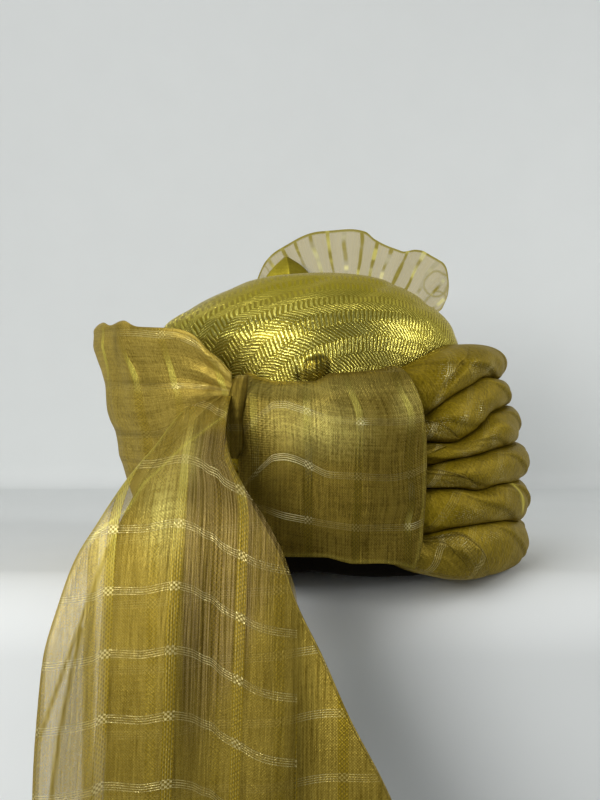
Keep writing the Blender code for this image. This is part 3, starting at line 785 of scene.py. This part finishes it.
def buildRoll(index, material):
    bearing = np.linspace(rolls["start"], rolls["end"], 330)
    bottom, top = rollHeights(index, bearing)
    innerGap, innerRows = (1.3, 7) if index == 1 else (0.8, 3)
    rings, tracks, edges, shine = [], [], [], []
    for share in 0.5 - 0.5 * np.cos(np.linspace(0, pi, 40)):
        rings.append(rollSkin(index, bearing, share + 0 * bearing))
        tracks.append(share * rolls["clothWidth"] + 0 * bearing)
        edges.append(rollEdges(index, bearing, share))
        shine.append(rollGlow(index, bearing, share))
    # the roll's inner face lies close to the crown
    for k, share in enumerate(np.linspace(1, 0, innerRows)):
        rings.append(crownSide(bearing, bottom + (top - bottom) * share, innerGap))
        tracks.append(30.0 + 4 * k + 0 * bearing)
        edges.append(0 * bearing)
        shine.append(0 * bearing)
    points = np.stack(rings, 1)
    along = np.radians(bearing)[:, None] * rolls["meanReach"]
    across = np.stack(tracks, 1) + along * rolls["slant"] + rolls["clothStep"] * index
    cloth = np.stack(np.broadcast_arrays(along, across), -1)
    count = points.shape[1]
    faces = gridFaces(count, len(bearing), closed=True)
    faces.append(tuple(range(count))[::-1])
    faces.append(tuple(range((len(bearing) - 1) * count, len(bearing) * count)))
    # the sparks and far values place painted glints of the metal
    piece = meshFrom(f"woundRoll{index}", points.reshape(-1, 3), faces, cloth.reshape(-1, 2) * mm,
                     {"shade": np.stack(edges, 1), "selvedge": np.stack(shine, 1),
                      "sparks": patches(rolls["sparks"][index])(0, 0, points),
                      "far": smooth(75, 95, np.broadcast_to(bearing[:, None], across.shape))})
    finishPiece(piece, material, "roll_cloth", f"roll_{index}")
    return piece


def buildRolls():
    material = tissueMaterial("roll")
    for index in range(1, 7):
        buildRoll(index, material)


buildRolls()
print("rolls built")


# Small pleats and foot wraps on the rolls

pleats = {
    "upperPleat": {"node": "pleat_upper", "roll": 2, "flat": (0.040, 0.020), "area": 0.00047,
                   "layer": 0, "bearing": (19, 27, 31, 35, 38.5),
                   "low": (0.18, 0.18, 0.18, 0.18, 0.18), "high": (0.84, 0.84, 0.62, 0.38, 0.2)},
    "middlePleat": {"node": "pleat_middle", "roll": 3, "flat": (0.032, 0.010), "area": 0.00022,
                    "layer": 0, "bearing": (19, 27, 30, 33.5),
                    "low": (0.50, 0.52, 0.62, 0.78), "high": (0.82, 0.82, 0.82, 0.81)},
    "lowerPleat": {"node": "pleat_lower", "roll": 4, "flat": (0.050, 0.020), "area": 0.00053,
                   "layer": 0, "bearing": (19, 28, 33, 38, 43.5),
                   "low": (0.18, 0.18, 0.18, 0.18, 0.18), "high": (0.82, 0.82, 0.62, 0.42, 0.2)},
    "longFootWrap": {"node": "foot_wrap_long", "roll": 6, "flat": (0.060, 0.034), "area": 0.00134,
                     "layer": 0, "bearing": (19, 30, 36, 41, 44.5, 47.5),
                     "low": (0.14, 0.14, 0.14, 0.14, 0.14, 0.14),
                     "high": (0.86, 0.86, 0.84, 0.66, 0.44, 0.2)},
    "shortFootWrap": {"node": "foot_wrap_short", "roll": 6, "flat": (0.045, 0.027),
                      "area": 0.00073, "layer": 1, "bearing": (19, 28, 30.5, 34, 37, 40),
                      "low": (0.20, 0.20, 0.20, 0.20, 0.20, 0.21),
                      "high": (0.80, 0.80, 0.78, 0.58, 0.42, 0.26)},
}
pleatLight = {"glow": ((-52, 82, 8, 5, 0.3), (-58, 78, 12, 3, 0.2), (-56, 52, 12, 2, 0.2)),
              "sparks": ((-62, 84, 9, 5, 0.7), (-70, 52, 8, 8, 0.35), (-70, 27, 8, 4, 0.6),
                         (-80, 24, 3, 5, 0.6))}


def pleatSurface(pleat):
    first, last = pleat["bearing"][0], pleat["bearing"][-1]
    lift = 1.4 + 1.3 * pleat["layer"]
    outline = {key: pleat[key] for key in ("bearing", "low", "high")}

    def surface(u, v):
        bearing = first + (last - first) * u
        low, high = curve(outline, "low", bearing), curve(outline, "high", bearing)
        share = low + (high - low) * v
        rise = lift + 0.4 * softNoise(u * 5, v * 4, pleat["roll"])
        points = rollSkin(pleat["roll"], bearing, share, rise)
        return points, np.radians(bearing) * rolls["meanReach"], share * rolls["clothWidth"]

    return surface


def buildPleats():
    material = tissueMaterial("pleat")
    facts = {name: patches(places) for name, places in pleatLight.items()}
    facts["shade"] = lambda u, v, points: 0.75 * softLine(v, 0.93, 0.025)
    for name, pleat in pleats.items():
        piece = clothSheet(name, 60, 40, pleatSurface(pleat), wall=0.6, facts=facts)
        finishPiece(piece, material, "tissue", pleat["node"])


buildPleats()
print("pleats built")


# Back band

band = {"left": -17.0, "right": 133.5, "back": 128.5, "round": 14.0, "clear": 1.0,
        "tuck": 2.0, "tuckStart": 0.92, "tuckShare": 0.08, "trackScale": 2.24,
        # glints, glows and sheen patches are painted highlights at chosen places
        "glints": ((7, 94, 18, 4, 0.6), (-24, 85.5, 3, 3, 1.0), (12, 67, 20, 8, 1.0),
                   (12, 39.6, 9, 4, 1.0), (-49, 52, 4, 5, 0.6), (-50, 35.6, 4, 4, 0.7)),
        "glows": ((32, 90.5, 4, 8, 0.35), (5.5, 90.5, 4, 8, 0.4), (-21.4, 95.5, 5, 9, 0.5),
                  (-47, 95.5, 5, 8, 0.5), (-50, 36, 4, 5, 0.3)),
        "paintedSheen": ((-4, 84, 22, 12, 0.42), (14, 88, 13, 10, 0.26), (0, 104, 46, 6, 0.16),
                  (-47, 95, 7, 10, 0.3))}
bandHem = {"bearing": (-17, -6.6, 2.2, 6.6, 9, 14.6, 17.7, 21.6, 26),
           "height": (20, 19.5, 19.3, 16.8, 15.7, 15.6, 14.8, 12.5, 9.6)}
bandTop = {"bearing": (-17, -13.8, -8.3, -0.2, 2.1, 4.4, 8.8, 13.5, 17.3, 20),
           "height": (112, 109.5, 107.3, 107.2, 109, 111.5, 112, 112.7, 113.6, 115.5)}
bandRight = {"height": (10, 13, 31.7, 50.7, 66.7, 91.3, 100.6, 112, 116),
             "bearing": (22.4, 22.9, 25.3, 26.1, 26.3, 25.3, 23.8, 21.4, 20.0)}
bandRows = {"bearing": (-17, -13.8, -11, -8.8, -6.5, -4.3, -1.7, 3.7, 9.8, 16.7, 22.1, 26),
            "lower": (46.5, 45, 43.5, 41.5, 39.9, 39, 38, 35.8, 33.9, 33.6, 33.4, 36),
            "middle": (51.5, 58.6, 65.2, 69.2, 69.8, 68.8, 66.1, 60.5, 59.7, 58.7, 60.4, 64),
            "upper": (79.8, 86.5, 91.5, 95.4, 95.7, 94.3, 92.4, 88.5, 87.4, 86.9, 87.7, 89)}
bandColumns = {"height": (20, 34, 46, 67.5, 88, 105),
               "first": (-1.2, -1.2, -1.2, -1.1, -1.4, -1.7),
               "second": (9.2, 9.2, 9.5, 9.8, 10.1, 7.6),
               "third": (21.4, 21.4, 22.5, 21.7, 22.3, 19.3)}


def bandSurface(u, v):
    rise = np.minimum(v / band["tuckStart"], 1.0)
    right = curve(bandRight, "bearing", 15 + 97 * rise)
    bearing = band["left"] + (right - band["left"]) * u
    hem = curve(bandHem, "height", bearing)
    top = curve(bandTop, "height", bearing)
    height = hem + (top - hem) * rise
    radius = ovalRadius(bearing, band["right"], band["back"]) + band["clear"]
    x = -radius * np.sin(np.radians(bearing))
    # slack cloth: a full middle, long soft hollows and fine creases
    slack = 2.6 * bump(x, height, (0, 86), (30, 20)) + 1.2 * bump(x, height, (-38, 60), (18, 40))
    slack = slack + 0.8 * softNoise(x / 26, height / 17, 3) + 0.35 * softNoise(x / 9, height / 22, 5)
    slack = np.maximum(slack, -0.2) * smooth(0, 0.06, u) * smooth(0, 0.04, v)
    radius = radius + slack * (1 - smooth(0.8, band["tuckStart"], v))
    fall = np.clip((height - (top - band["round"])) / band["round"], 0, 1)
    radius = radius - band["round"] * (1 - np.sqrt(np.maximum(0, 1 - fall ** 2)))
    tuck = np.clip((v - band["tuckStart"]) / band["tuckShare"], 0, 1)
    seat = np.linalg.norm(crownSide(bearing, top - band["tuck"], 1.0)[..., :2], axis=-1)
    radius = radius + (seat - radius) * tuck
    height = height - band["tuck"] * tuck ** 2
    rows = [curve(bandRows, name, bearing) for name in ("lower", "middle", "upper")]
    columns = [curve(bandColumns, name, height) for name in ("first", "second", "third")]
    t = gridTrack(hem + (top - hem) * rise, rows, weave["pitch"])
    s = gridTrack(bearing, columns, weave["pitch"], band["trackScale"])
    return placed(bearing, radius, height), s, t


def bandSelvedge(u, v, points):
    # pale edges at the right and along the hem
    side = softLine(u, 0.985, 0.008) * (v < 0.85)
    return 0.10 * np.maximum(side, softLine(v, 0.012, 0.008))


def buildBand():
    facts = {"glint": patches(band["glints"]), "glow": patches(band["glows"]),
             "paintedSheen": patches(band["paintedSheen"]), "selvedge": bandSelvedge}
    piece = clothSheet("backBandCloth", 170, 150, bandSurface, wall=0.9, facts=facts)
    finishPiece(piece, tissueMaterial("band"), "tissue", "back_band")


buildBand()
print("back band built")


# Upright pleat at the band's left end

bandPleat = {"height": (68.6, 72, 76, 82, 88, 97, 105.5, 110.5),
             "left": (42.0, 43.0, 43.5, 43.6, 43.6, 43.2, 41.3, 39.0),
             "right": (38.2, 36.4, 35.2, 35.6, 36.3, 34.9, 33.5, 33.0),
             "back": 126.6, "depth": 2.2, "turnUnder": 1.25, "clothScale": 1.4}


def bandPleatSurface(u, v):
    first, last = bandPleat["height"][0], bandPleat["height"][-1]
    height = first + (last - first) * v
    left, right = curve(bandPleat, "left", height), curve(bandPleat, "right", height)
    # from the left edge over the front, and turned under at the right
    share = u * bandPleat["turnUnder"]
    x = np.where(share < 1, left + (right - left) * share,
                 right + (left - right) * (share - 1) * 1.2)
    bulge = np.clip(np.sin(pi * np.clip(share, 0, 1)), 0, 1) ** 0.5
    y = bandPleat["back"] + bandPleat["depth"] * bulge
    y = np.where(share < 1, y, bandPleat["back"] - 0.3 * np.sin(pi * (share - 1) / 0.5))
    y = y + 0.3 * np.sin(u * 14) * smooth(0, 0.3, u)
    return np.stack([x, y, height], -1), x * bandPleat["clothScale"] + 20, height - 4


def buildBandPleat():
    piece = clothSheet("uprightPleat", 30, 60, bandPleatSurface, wall=0.5)
    finishPiece(piece, tissueMaterial("band"), "tissue", "band_pleat")


buildBandPleat()
print("upright pleat built")


# Side wing

wing = {
    "bearing": (-112, -100, -90, -80, -69, -66, -59, -52, -46, -41, -36, -30, -26.7,
                -25.3, -23.7, -21.1, -18.4),
    "top":     (124, 130, 134.5, 137.5, 137.5, 140, 141, 138.5, 140, 136.5, 135.5, 134.3,
                131.5, 128.4, 124, 119, 111.5),
    "reach":   (116, 121, 126, 130.5, 134.5, 135.3, 136.5, 139, 140.5, 141, 141, 139.5,
                137, 136, 135.4, 134, 132),
    "hem":     (22, 18, 15, 13.5, 12.5, 12.5, 13, 17, 26, 34, 44, 60, 69, 73, 78, 86, 95),
    # glints and glows are painted highlights at chosen places
    "glints":  ((84, 132, 14, 3, 0.8), (61, 127, 6, 3, 0.9), (70, 104, 4, 4, 1.0),
                (54, 103, 14, 4, 0.9)),
    "glows":   ((118, 123, 6, 14, 1.0), (95, 115, 5, 9, 0.9), (73, 112, 5, 10, 0.75),
                (46, 107, 6, 7, 0.8)),
    "shades":  ((92, 107.5, 26, 1.8, 0.42), (100, 79.5, 26, 2.2, 0.45), (88, 136, 24, 1.6, 0.4),
                (106, 128, 1.6, 9, 0.4), (88, 66, 1.8, 7, 0.3), (80, 60, 5, 2, 0.3)),
    "clear": 0.7, "gap": 1.0, "trackScale": 2.3, "alongScale": -2.35,
}
flare = {"height": (10, 22, 52, 61, 67, 73, 80, 87, 94, 105, 114, 122, 130, 137, 142),
         "share": (0.78, 0.792, 0.861, 0.882, 0.898, 0.902, 0.908, 0.926, 0.936, 0.939,
                   0.956, 0.981, 1.0, 1.0, 0.973)}
wingRows = {"bearing": (-112, -90, -66, -42, -36, -30, -27, -24, -21.6, -19),
            "lower": (74, 77, 78.3, 79.9, 83, 89, 92, 95, 97, 98.5),
            "middle": (102, 105, 106.9, 104.8, 105.2, 105, 104.2, 103.6, 103, 102.6),
            "upper": (128, 131, 135, 133.4, 131.9, 130.6, 127.8, 121.8, 116.2, 110.1)}
wingColumns = {"height": (20, 90, 100, 107, 120, 135),
               "first": (-64, -64, -63, -61, -58, -56),
               "second": (-43, -43.8, -44, -44.2, -46, -47.5),
               "third": (-32, -32.2, -31.8, -33.1, -33.5, -33.4),
               "fourth": (-19, -19.5, -20, -21, -23, -24)}


def wrapReach(bearing, height):
    # radius that clears every roll at a bearing and height
    middles, reaches = [], []
    for index in range(6, 0, -1):
        bottom, top = rollHeights(index, bearing)
        middles.append((bottom + top) / 2)
        reaches.append(rollReach(index, bearing))
    result = np.array(reaches[0], float) + 0 * height
    for k in range(5):
        share = np.clip((height - middles[k]) / (middles[k + 1] - middles[k]), 0, 1)
        result = result + (reaches[k + 1] - reaches[k]) * share
    return result + wing["clear"]


def wingSurface(u, v):
    first, last = wing["bearing"][0], wing["bearing"][-1]
    bearing = first + (last - first) * u ** 0.8
    top, hem = curve(wing, "top", bearing), curve(wing, "hem", bearing)
    height = hem + (top - hem) * v
    share = curve(flare, "share", height) / curve(flare, "share", top)
    radius = curve(wing, "reach", bearing) * share
    along = (bearing - last) * wing["alongScale"]
    angle = np.arctan2(height - 102, along + 6)
    reachOut = smooth(2, 40, along)
    folds = np.cos(angle * 9 + 1.2 * softNoise(along / 30, angle * 2, 12))
    slack = reachOut * (0.9 * folds + 0.6 * softNoise(along / 16, height / 18, 14))
    slack = slack + 1.3 * softLine(along, 16, 14) * np.cos(angle * 15 + 0.6)
    slack = slack * (1 - smooth(0.94, 1.0, v)) * smooth(0, 0.05, v)
    radius = np.maximum(radius + slack, wrapReach(bearing, height) + wing["gap"])
    rows = [curve(wingRows, name, bearing) for name in ("lower", "middle", "upper")]
    columns = [curve(wingColumns, name, height)
               for name in ("first", "second", "third", "fourth")]
    t = gridTrack(height, rows, weave["pitch"])
    s = gridTrack(bearing, columns, weave["pitch"], wing["trackScale"])
    return placed(bearing, radius, height), s, t


def buildWing():
    facts = {"glint": patches(wing["glints"]), "glow": patches(wing["glows"]),
             "shade": patches(wing["shades"])}
    piece = clothSheet("sideWingCloth", 230, 150, wingSurface, wall=0.9, facts=facts)
    finishPiece(piece, tissueMaterial("wing"), "tissue", "side_wing")


buildWing()
print("wing built")


# Hanging tail: one cloth folded in three, front and back sheer, the middle dense as far as
# its pale hem

tail = {
    "height": (-84, -59, -34, -10, 12, 30.5, 46.5, 61, 69, 77, 86, 94, 100),
    "front": (218, 218, 217, 215, 212, 208, 202, 192, 181, 167, 152, 140, 132.2),
    "left": (118.5, 117.5, 116, 114, 108.5, 102.5, 93.5, 85, 80, 74.5, 69.5, 63, 50),
    "rightFold": (-38, -27, -13.5, -2.5, 8.3, 15, 24, 34, 39, 42.3, 42.6, 42.3, 41.5),
    "frontHem": (8.2, 8.2, 8.2, 8.2, 8.2, 13, 21.5, 32, 37, 40.5, 42.3, 42.2, 42.1),
    "middleHem": (113, 110, 106, 101, 96, 91, 84, 77.5, 73.5, 67.5, 60, 53, 47),
    "denseEdge": 88.8, "folds": (0.33, 0.37, 0.68, 0.71), "frontEnd": 0.345, "middleStart": 0.7,
    "spread": (3.6, 3.6, 3.6, 3.5, 3.4, 3.2, 3.0, 2.8, 2.7, 2.6, 2.5, 2.4, 2.4),
    # glints, glows and sheen patches are painted highlights at chosen places
    "glints": ((42, 60, 22, 60, 1.0), (45, -10, 26, 60, 1.0), (62, -60, 30, 30, 0.9)),
    "glows": ((82, 45, 5, 24, 1.0), (58, 66, 4, 12, 0.5), (30, 62, 3, 10, 0.4)),
    "shades": ((19, 24, 12, 24, 0.5), (24, -18, 9, 34, 0.25)),
    "middleGlints": ((0, -5, 10, 200, 0.55), (-12, -60, 12, 40, 0.3)),
    "paintedSheen": ((66, 50, 8, 17, 0.75), (58, 72, 5, 14, 0.5), (92, 40, 3, 20, 0.3)),
    "innerHems": (((-40, 5, 23, 34), (113.5, 98.4, 92.5, 89)),
                  ((-84, -40, -14, 2), (111, 106, 101.5, 98))),
    "neckHem": ((32, 41.6, 50.8, 61.5, 69, 76.5, 84, 91), (102, 93.5, 81.4, 75.5, 68, 61, 52, 43)),
}
tailColumns = {"height": (-84, -59, -32, -5, 20, 46, 59, 72),
               "right": (34.5, 34, 33, 32.2, 31.5, 31, 33, 40),
               "middle": (62.5, 61.8, 60.9, 60.4, 59.5, 58.6, 58.1, 59),
               "left": (92, 91, 89.3, 88.4, 87.6, 86.5, 84, 80)}
tailDroop = {"x": (8, 21, 26, 32, 35, 40, 44, 47.5, 52, 60, 74, 89, 94, 108, 120),
             "drop": (20, 17.5, 16, 13, 12, 9.5, 6, 4.6, 1.9, 0, 2.3, 2.8, 5, 6.4, 7)}
tailRows = (-112.0, -85.8, -59.2, -31.6, -5.3, 20.4, 45.5, 71.5, 97.0)


def tailFlute(x, height):
    return (2.5 * np.cos(2 * pi * (x - 20) / 46) * smooth(75, -20, height)
            + 0.8 * softNoise(x / 12, height / 40, 61))


def tailSurface(u, v):
    height = tail["height"][0] + (tail["height"][-1] - tail["height"][0]) * v
    front, left = curve(tail, "front", height), curve(tail, "left", height)
    right, hem = curve(tail, "rightFold", height), curve(tail, "frontHem", height)
    inner, spread = curve(tail, "middleHem", height), curve(tail, "spread", height)
    # front layer, its left fold, back layer, its right fold, middle layer
    part1, part2, part3, part4 = tail["folds"]
    a = np.clip(u / part1, 0, 1)
    b = np.clip((u - part1) / (part2 - part1), 0, 1)
    c = np.clip((u - part2) / (part3 - part2), 0, 1)
    d = np.clip((u - part3) / (part4 - part3), 0, 1)
    e = np.clip((u - part4) / (1 - part4), 0, 1)
    lip = np.minimum(spread, 4.0)
    x1 = hem + (left - lip - hem) * a + lip * np.sin(pi * b)
    y1 = front - spread * (1 - np.cos(pi * b))
    x3 = left - lip + (right + 1 - left + lip) * c - np.sin(pi * d)
    y3 = front - 2 * spread + spread / 2 * (1 - np.cos(pi * d))
    x5 = right + 1 + (inner - right - 1) * e
    x = np.where(u <= part2, x1, np.where(u <= part4, x3, x5))
    y = np.where(u <= part2, y1, np.where(u <= part4, y3, front - spread))
    y = y + tailFlute(x, height)
    gathered = (x - right) / np.maximum(left - right, 1.0)
    y = y + 0.9 * np.cos(gathered * 21 + 1.0) * smooth(48, 88, height)
    points = np.stack([x, y, height], -1)
    columns = [curve(tailColumns, name, height) for name in ("right", "middle", "left")]
    rows = [mark + 0 * x for mark in tailRows]
    s = gridTrack(x, columns, weave["pitch"])
    t = gridTrack(height + curve(tailDroop, "drop", x), rows, weave["pitch"])
    behind = u > part2
    s = np.where(behind, x + 11, s)
    t = np.where(behind, height + 0.1 * x + 7, t)
    t = np.where(behind & (u < part4), height - 0.6 * (x - 90) + 11, t)
    return points, s, t


def onFront(places, least=0.0):
    # patches on the tail's front layer only
    value = patches(places)
    return lambda u, v, points: np.maximum(value(u, v, points), least) * (u < tail["frontEnd"])


def innerHem(u, points):
    # hems of the inner layers that show through the sheer left part
    x, height = points[..., 0], points[..., 2]
    value = 0 * x
    for heights, places in tail["innerHems"]:
        inRange = (smooth(heights[0] - 3, heights[0], height)
                   * smooth(heights[-1] + 3, heights[-1], height))
        line = softLine(x, np.interp(height, heights, places), 0.95)
        value = np.maximum(value, line * inRange)
    return value * (u < tail["frontEnd"])


def tailDense(u, v, points):
    middle = smooth(*tail["folds"][2:], u) * smooth(tail["denseEdge"] + 0.8, tail["denseEdge"],
                                                    points[..., 0])
    middle = np.maximum(middle, innerHem(u, points))
    return np.maximum(middle, 0.8 * softLine(u, 0.35, 0.01))


# painted light: the sheer left part of the tail is lightened towards pale gold, standing in for light
# coming through the thin cloth
def tailLitThrough(u, v, points):
    return 0.68 * smooth(tail["denseEdge"] - 0.5, tail["denseEdge"] + 1.5, points[..., 0])


def tailGlint(u, v, points):
    behind = patches(tail["middleGlints"])(u, v, points) * (u > tail["middleStart"])
    return np.maximum(onFront(tail["glints"], 0.75)(u, v, points), behind)


def tailShade(u, v, points):
    x, height = points[..., 0], points[..., 2]
    edge = softLine(u, 0.994, 0.004) + softLine(u, 0.004, 0.003)
    low = 0.3 * (u > tail["middleStart"]) * smooth(-5, -65, height) * smooth(40, 0, x)
    low = np.maximum(low, onFront(tail["shades"])(u, v, points))
    low = np.maximum(low, 0.6 * innerHem(u, points))
    return np.maximum(0.6 * np.minimum(edge, 1.0), low)


def tailSelvedge(u, v, points):
    # pale hems: the dense part's edge, and two at the neck
    x, height = points[..., 0], points[..., 2]
    line = 0.4 * softLine(x, tail["denseEdge"], 0.7) * (u > tail["middleStart"])
    neck = softLine(x, np.interp(height, *tail["neckHem"]), 1.0) * smooth(30, 42, height)
    side = softLine(u, 0.345, 0.008) * smooth(45, 60, height)
    near = 0.6 * np.maximum(neck, side) * (u < 0.36) * smooth(98, 90, height)
    return np.maximum(line * smooth(40, 10, height), near)


def tailWedgeShade(u, v, points):
    # painted shade: a dark, streaky brown wedge down the middle of the front layer, where the shadowed
    # inside shows through the sheer
    x, height = points[..., 0], points[..., 2]
    right = 15 + 0.45 * np.clip(30 - height, 0, 60)
    wedge = smooth(56.5, 55, x) * smooth(right - 8, right + 5, x) * smooth(88, 80, height)
    return wedge * smooth(-66, 0, height) * (u < tail["frontEnd"])


def buildTail():
    facts = {"dense": tailDense, "thin": tailLitThrough, "shade": tailShade, "selvedge": tailSelvedge,
             "glint": tailGlint, "glow": onFront(tail["glows"]),
             "paintedSheen": onFront(tail["paintedSheen"]), "wedgeShade": tailWedgeShade}
    piece = clothSheet("hangingTail", 260, 200, tailSurface, facts=facts)
    finishPiece(piece, tissueMaterial("tail"), "sheer", "tail")


buildTail()
print("tail built")


# Fan crest and the folded tip beside it

fan = {"angle": (-40, -32, -23, -16, -9, 0, 7, 11, 18, 22, 27, 30, 37, 43, 47, 50),
       "reach": (104, 113, 117, 119, 120, 120, 119, 115, 112, 111.5, 117.5, 119.5, 119.5,
                 113, 105, 94)}
fanShape = {"root": (-27.0, -117.0, 105.5), "foot": 146.5, "flute": 2.4, "flutes": 6,
            "clothScale": 1.9}
fanLook = {"dark": (0.36, 0.29, 0.10), "light": (0.57, 0.47, 0.20), "fold": (0.27, 0.225, 0.02),
           "zari": (0.76, 0.69, 0.20), "spacing": 11.4, "hatch": 0.9, "alpha": 0.74,
           "loops": ((77, 104, 9.5, 9.5), (86.5, 94, 7.5, 9), (-67, 106, 5, 8))}


def fanSurface(u, v):
    angle = fan["angle"][0] + (fan["angle"][-1] - fan["angle"][0]) * u
    lean = np.radians(angle)
    reach = curve(fan, "reach", angle)
    root = fanShape["root"]
    foot = (fanShape["foot"] + np.maximum(0, angle - 32) * 0.25 - root[2]) / np.cos(lean)
    radius = foot + (reach - foot) * v
    turn = 2 * pi * u * fanShape["flutes"] + 1.6 * np.sin(5 * u + 0.5)
    wave = fanShape["flute"] * v ** 1.4 * np.cos(turn)
    x = root[0] - radius * np.sin(lean)
    points = np.stack([x, root[1] + wave, root[2] + radius * np.cos(lean)], -1)
    return points, angle * fanShape["clothScale"], radius


def fanMaterial():
    look = fanLook
    cloth = ClothNodes("fanTissue")
    s, t = cloth.cloth()
    warp = cloth.uneven(s, t, 1.4, 0.05, 3.0, 3.1)
    hatch = cloth.basket(s, t, look["hatch"])
    ground = cloth.add(cloth.times(warp, 0.5), cloth.times(hatch, 0.12), 0.5)
    color = cloth.mix(ground, look["dark"], look["light"])
    bowed = cloth.add(s, cloth.times(cloth.uneven(s, t, 0.05, 0.03, 1.0, 8.0), 9.0))
    stripe = cloth.span(cloth.calc("COSINE", cloth.times(bowed, 2 * pi / look["spacing"])), 0.35, 0.95)
    number = cloth.calc("ROUND", cloth.times(bowed, 1.0 / look["spacing"]))
    bright = cloth.speckle(number, t, 1.7, 0.085, 1.0, 31.0)
    bright = cloth.times(stripe, cloth.span(bright, 0.5, 0.66), 0.8)
    fade = cloth.speckle(number, t, 2.3, 0.05, 1.0, 44.0)
    fold = cloth.times(stripe, cloth.span(fade, 0.35, 0.6, 0.35, 0.8))
    sway = cloth.times(cloth.uneven(s, t, 0.11, 0.11, 1.0, 3.0), 4.0)
    for s0, t0, wide, tall in look["loops"]:
        x = cloth.calc("POWER", cloth.times(cloth.add(s, sway, -s0), 1.0 / wide), 2.0)
        y = cloth.calc("POWER", cloth.times(cloth.add(t, sway, -t0), 1.0 / tall), 2.0)
        off = cloth.calc("ABSOLUTE", cloth.add(cloth.calc("SQRT", cloth.add(x, y)), -1.0))
        fold = cloth.most(fold, cloth.times(cloth.span(off, 0.2, 0.03), 0.6))
    fold = cloth.most(fold, cloth.times(cloth.fact("hem"), 0.85))
    color = cloth.mix(fold, color, look["fold"])
    color = cloth.mix(bright, color, look["zari"])
    alpha = cloth.add(cloth.times(cloth.add(ground, -0.5), 0.4), look["alpha"])
    covered = cloth.most(cloth.times(fold, 1.5), bright)
    cloth.set(Base_Color=color, Roughness=0.45, Specular_IOR_Level=0.15,
              Metallic=cloth.times(bright, 0.25),
              Alpha=cloth.calc("MAXIMUM", alpha, covered, clamp=True))
    cloth.relief(ground, 0.2)
    return cloth.material


def buildFan():
    def hem(u, v, points):
        return np.maximum(smooth(0.965, 0.985, v), smooth(0.985, 0.995, np.abs(2 * u - 1)))

    piece = clothSheet("fanCrest", 240, 90, fanSurface, facts={"hem": hem})
    finishPiece(piece, fanMaterial(), "crest_sheer", "fan_crest")


tip = {"height": (146.5, 160, 175, 188, 196, 203), "left": (30, 34, 35, 32, 26, 18.5),
       "ridge": (15, 14.5, 14, 14.5, 15.5, 17), "right": (-1, -4, -4.5, -1.5, 5, 15.5),
       "rise": (2.0, 4.0, 6.0, 7.0, 6.0, 3.0), "back": -107.5}


def tipSurface(u, v):
    height = tip["height"][0] + (tip["height"][-1] - tip["height"][0]) * v
    left, ridge = curve(tip, "left", height), curve(tip, "ridge", height)
    right, rise = curve(tip, "right", height), curve(tip, "rise", height)
    x = np.where(u < 0.5, left + (ridge - left) * u * 2, ridge + (right - ridge) * (u * 2 - 1))
    y = tip["back"] + rise * (1 - np.abs(2 * u - 1))
    return np.stack([x, y, height], -1), x, height


def buildTip():
    piece = clothSheet("crestTip", 41, 50, tipSurface, wall=0.8,
                       facts={"shade": lambda u, v, points: 0.45 * smooth(0.49, 0.53, u)})
    finishPiece(piece, tissueMaterial("tip"), "tissue", "crest_fold")


buildFan()
buildTip()
print("crest built")


# Ledge, wall and lights

studio = {"ledge": -1.5, "edgeStart": 45.0, "edgeRound": 42.0, "wall": -500.0, "cove": 25.0,
          "wallTop": 1500.0, "floor": -600.0, "floorEnd": 2600.0, "halfWidth": 2200.0,
          "color": (0.76, 0.78, 0.77), "world": (0.80, 0.83, 0.84), "worldPower": 0.23}
lamps = {
    "windowLight": {"place": (0.46, 0.84, 0.38), "aim": (0.0, -0.1, 0.25), "size": (0.50, 0.30),
                    "power": 7.5},
    "behindLight": {"place": (0.3, 2.0, 0.3), "aim": (0.05, 0.1, 0.0), "size": (2.0, 1.0),
                    "power": 3.6},
    "rightLight": {"place": (-0.90, 0.08, 0.44), "aim": (0.0, 0.05, 0.12), "size": (0.2, 0.4),
                   "power": 3.2},
    "overheadLight": {"place": (0.45, -0.1, 1.35), "aim": (0.0, -0.1, 0.1), "size": (1.0, 1.0),
                      "power": 3.8},
}


def ledgeProfile():
    # depth and height of the backdrop from the top of the wall to the floor in front
    line = [(studio["wall"], studio["wallTop"])]
    cove, ledge = studio["cove"], studio["ledge"]
    for a in np.linspace(0, pi / 2, 9):
        line.append((studio["wall"] + cove * (1 - np.cos(a)), ledge + cove * (1 - np.sin(a))))
    start, edge = studio["edgeStart"], studio["edgeRound"]
    for a in np.linspace(0, pi / 2, 17):
        line.append((start + edge * np.sin(a), ledge - edge * (1 - np.cos(a))))
    line += [(start + edge, studio["floor"]), (studio["floorEnd"], studio["floor"])]
    return line


def buildStage():
    line = ledgeProfile()
    points, cloth = [], []
    for y, z in line:
        for x in (-studio["halfWidth"], studio["halfWidth"]):
            points.append((x, y, z))
            cloth.append((x * mm, (y + z) * mm))
    piece = meshFrom("paleLedge", points, gridFaces(2, len(line)), cloth)
    material = ClothNodes("palePaint")
    s, t = material.cloth()
    tone = material.noise(material.times(s, 0.02), material.times(t, 0.02), 4.0)
    light, color = studio["color"], tuple(0.96 * c for c in studio["color"])
    material.set(Base_Color=material.mix(tone, color, light), Roughness=0.75)
    piece.data.materials.append(material.material)


def setLights():
    world = bpy.data.worlds.new("softRoom")
    world.use_nodes = True
    backdrop = world.node_tree.nodes["Background"]
    backdrop.inputs[0].default_value = (*studio["world"], 1.0)
    backdrop.inputs[1].default_value = studio["worldPower"]
    bpy.context.scene.world = world
    for name, lamp in lamps.items():
        source = bpy.data.lights.new(name, "AREA")
        source.shape = "RECTANGLE"
        source.size, source.size_y = lamp["size"]
        source.energy = lamp["power"]
        light = bpy.data.objects.new(name, source)
        light.location = lamp["place"]
        aim = Vector(lamp["aim"]) - light.location
        light.rotation_euler = aim.to_track_quat("-Z", "Y").to_euler()
        bpy.context.scene.collection.objects.link(light)


buildStage()
setLights()
print("stage and lights set")
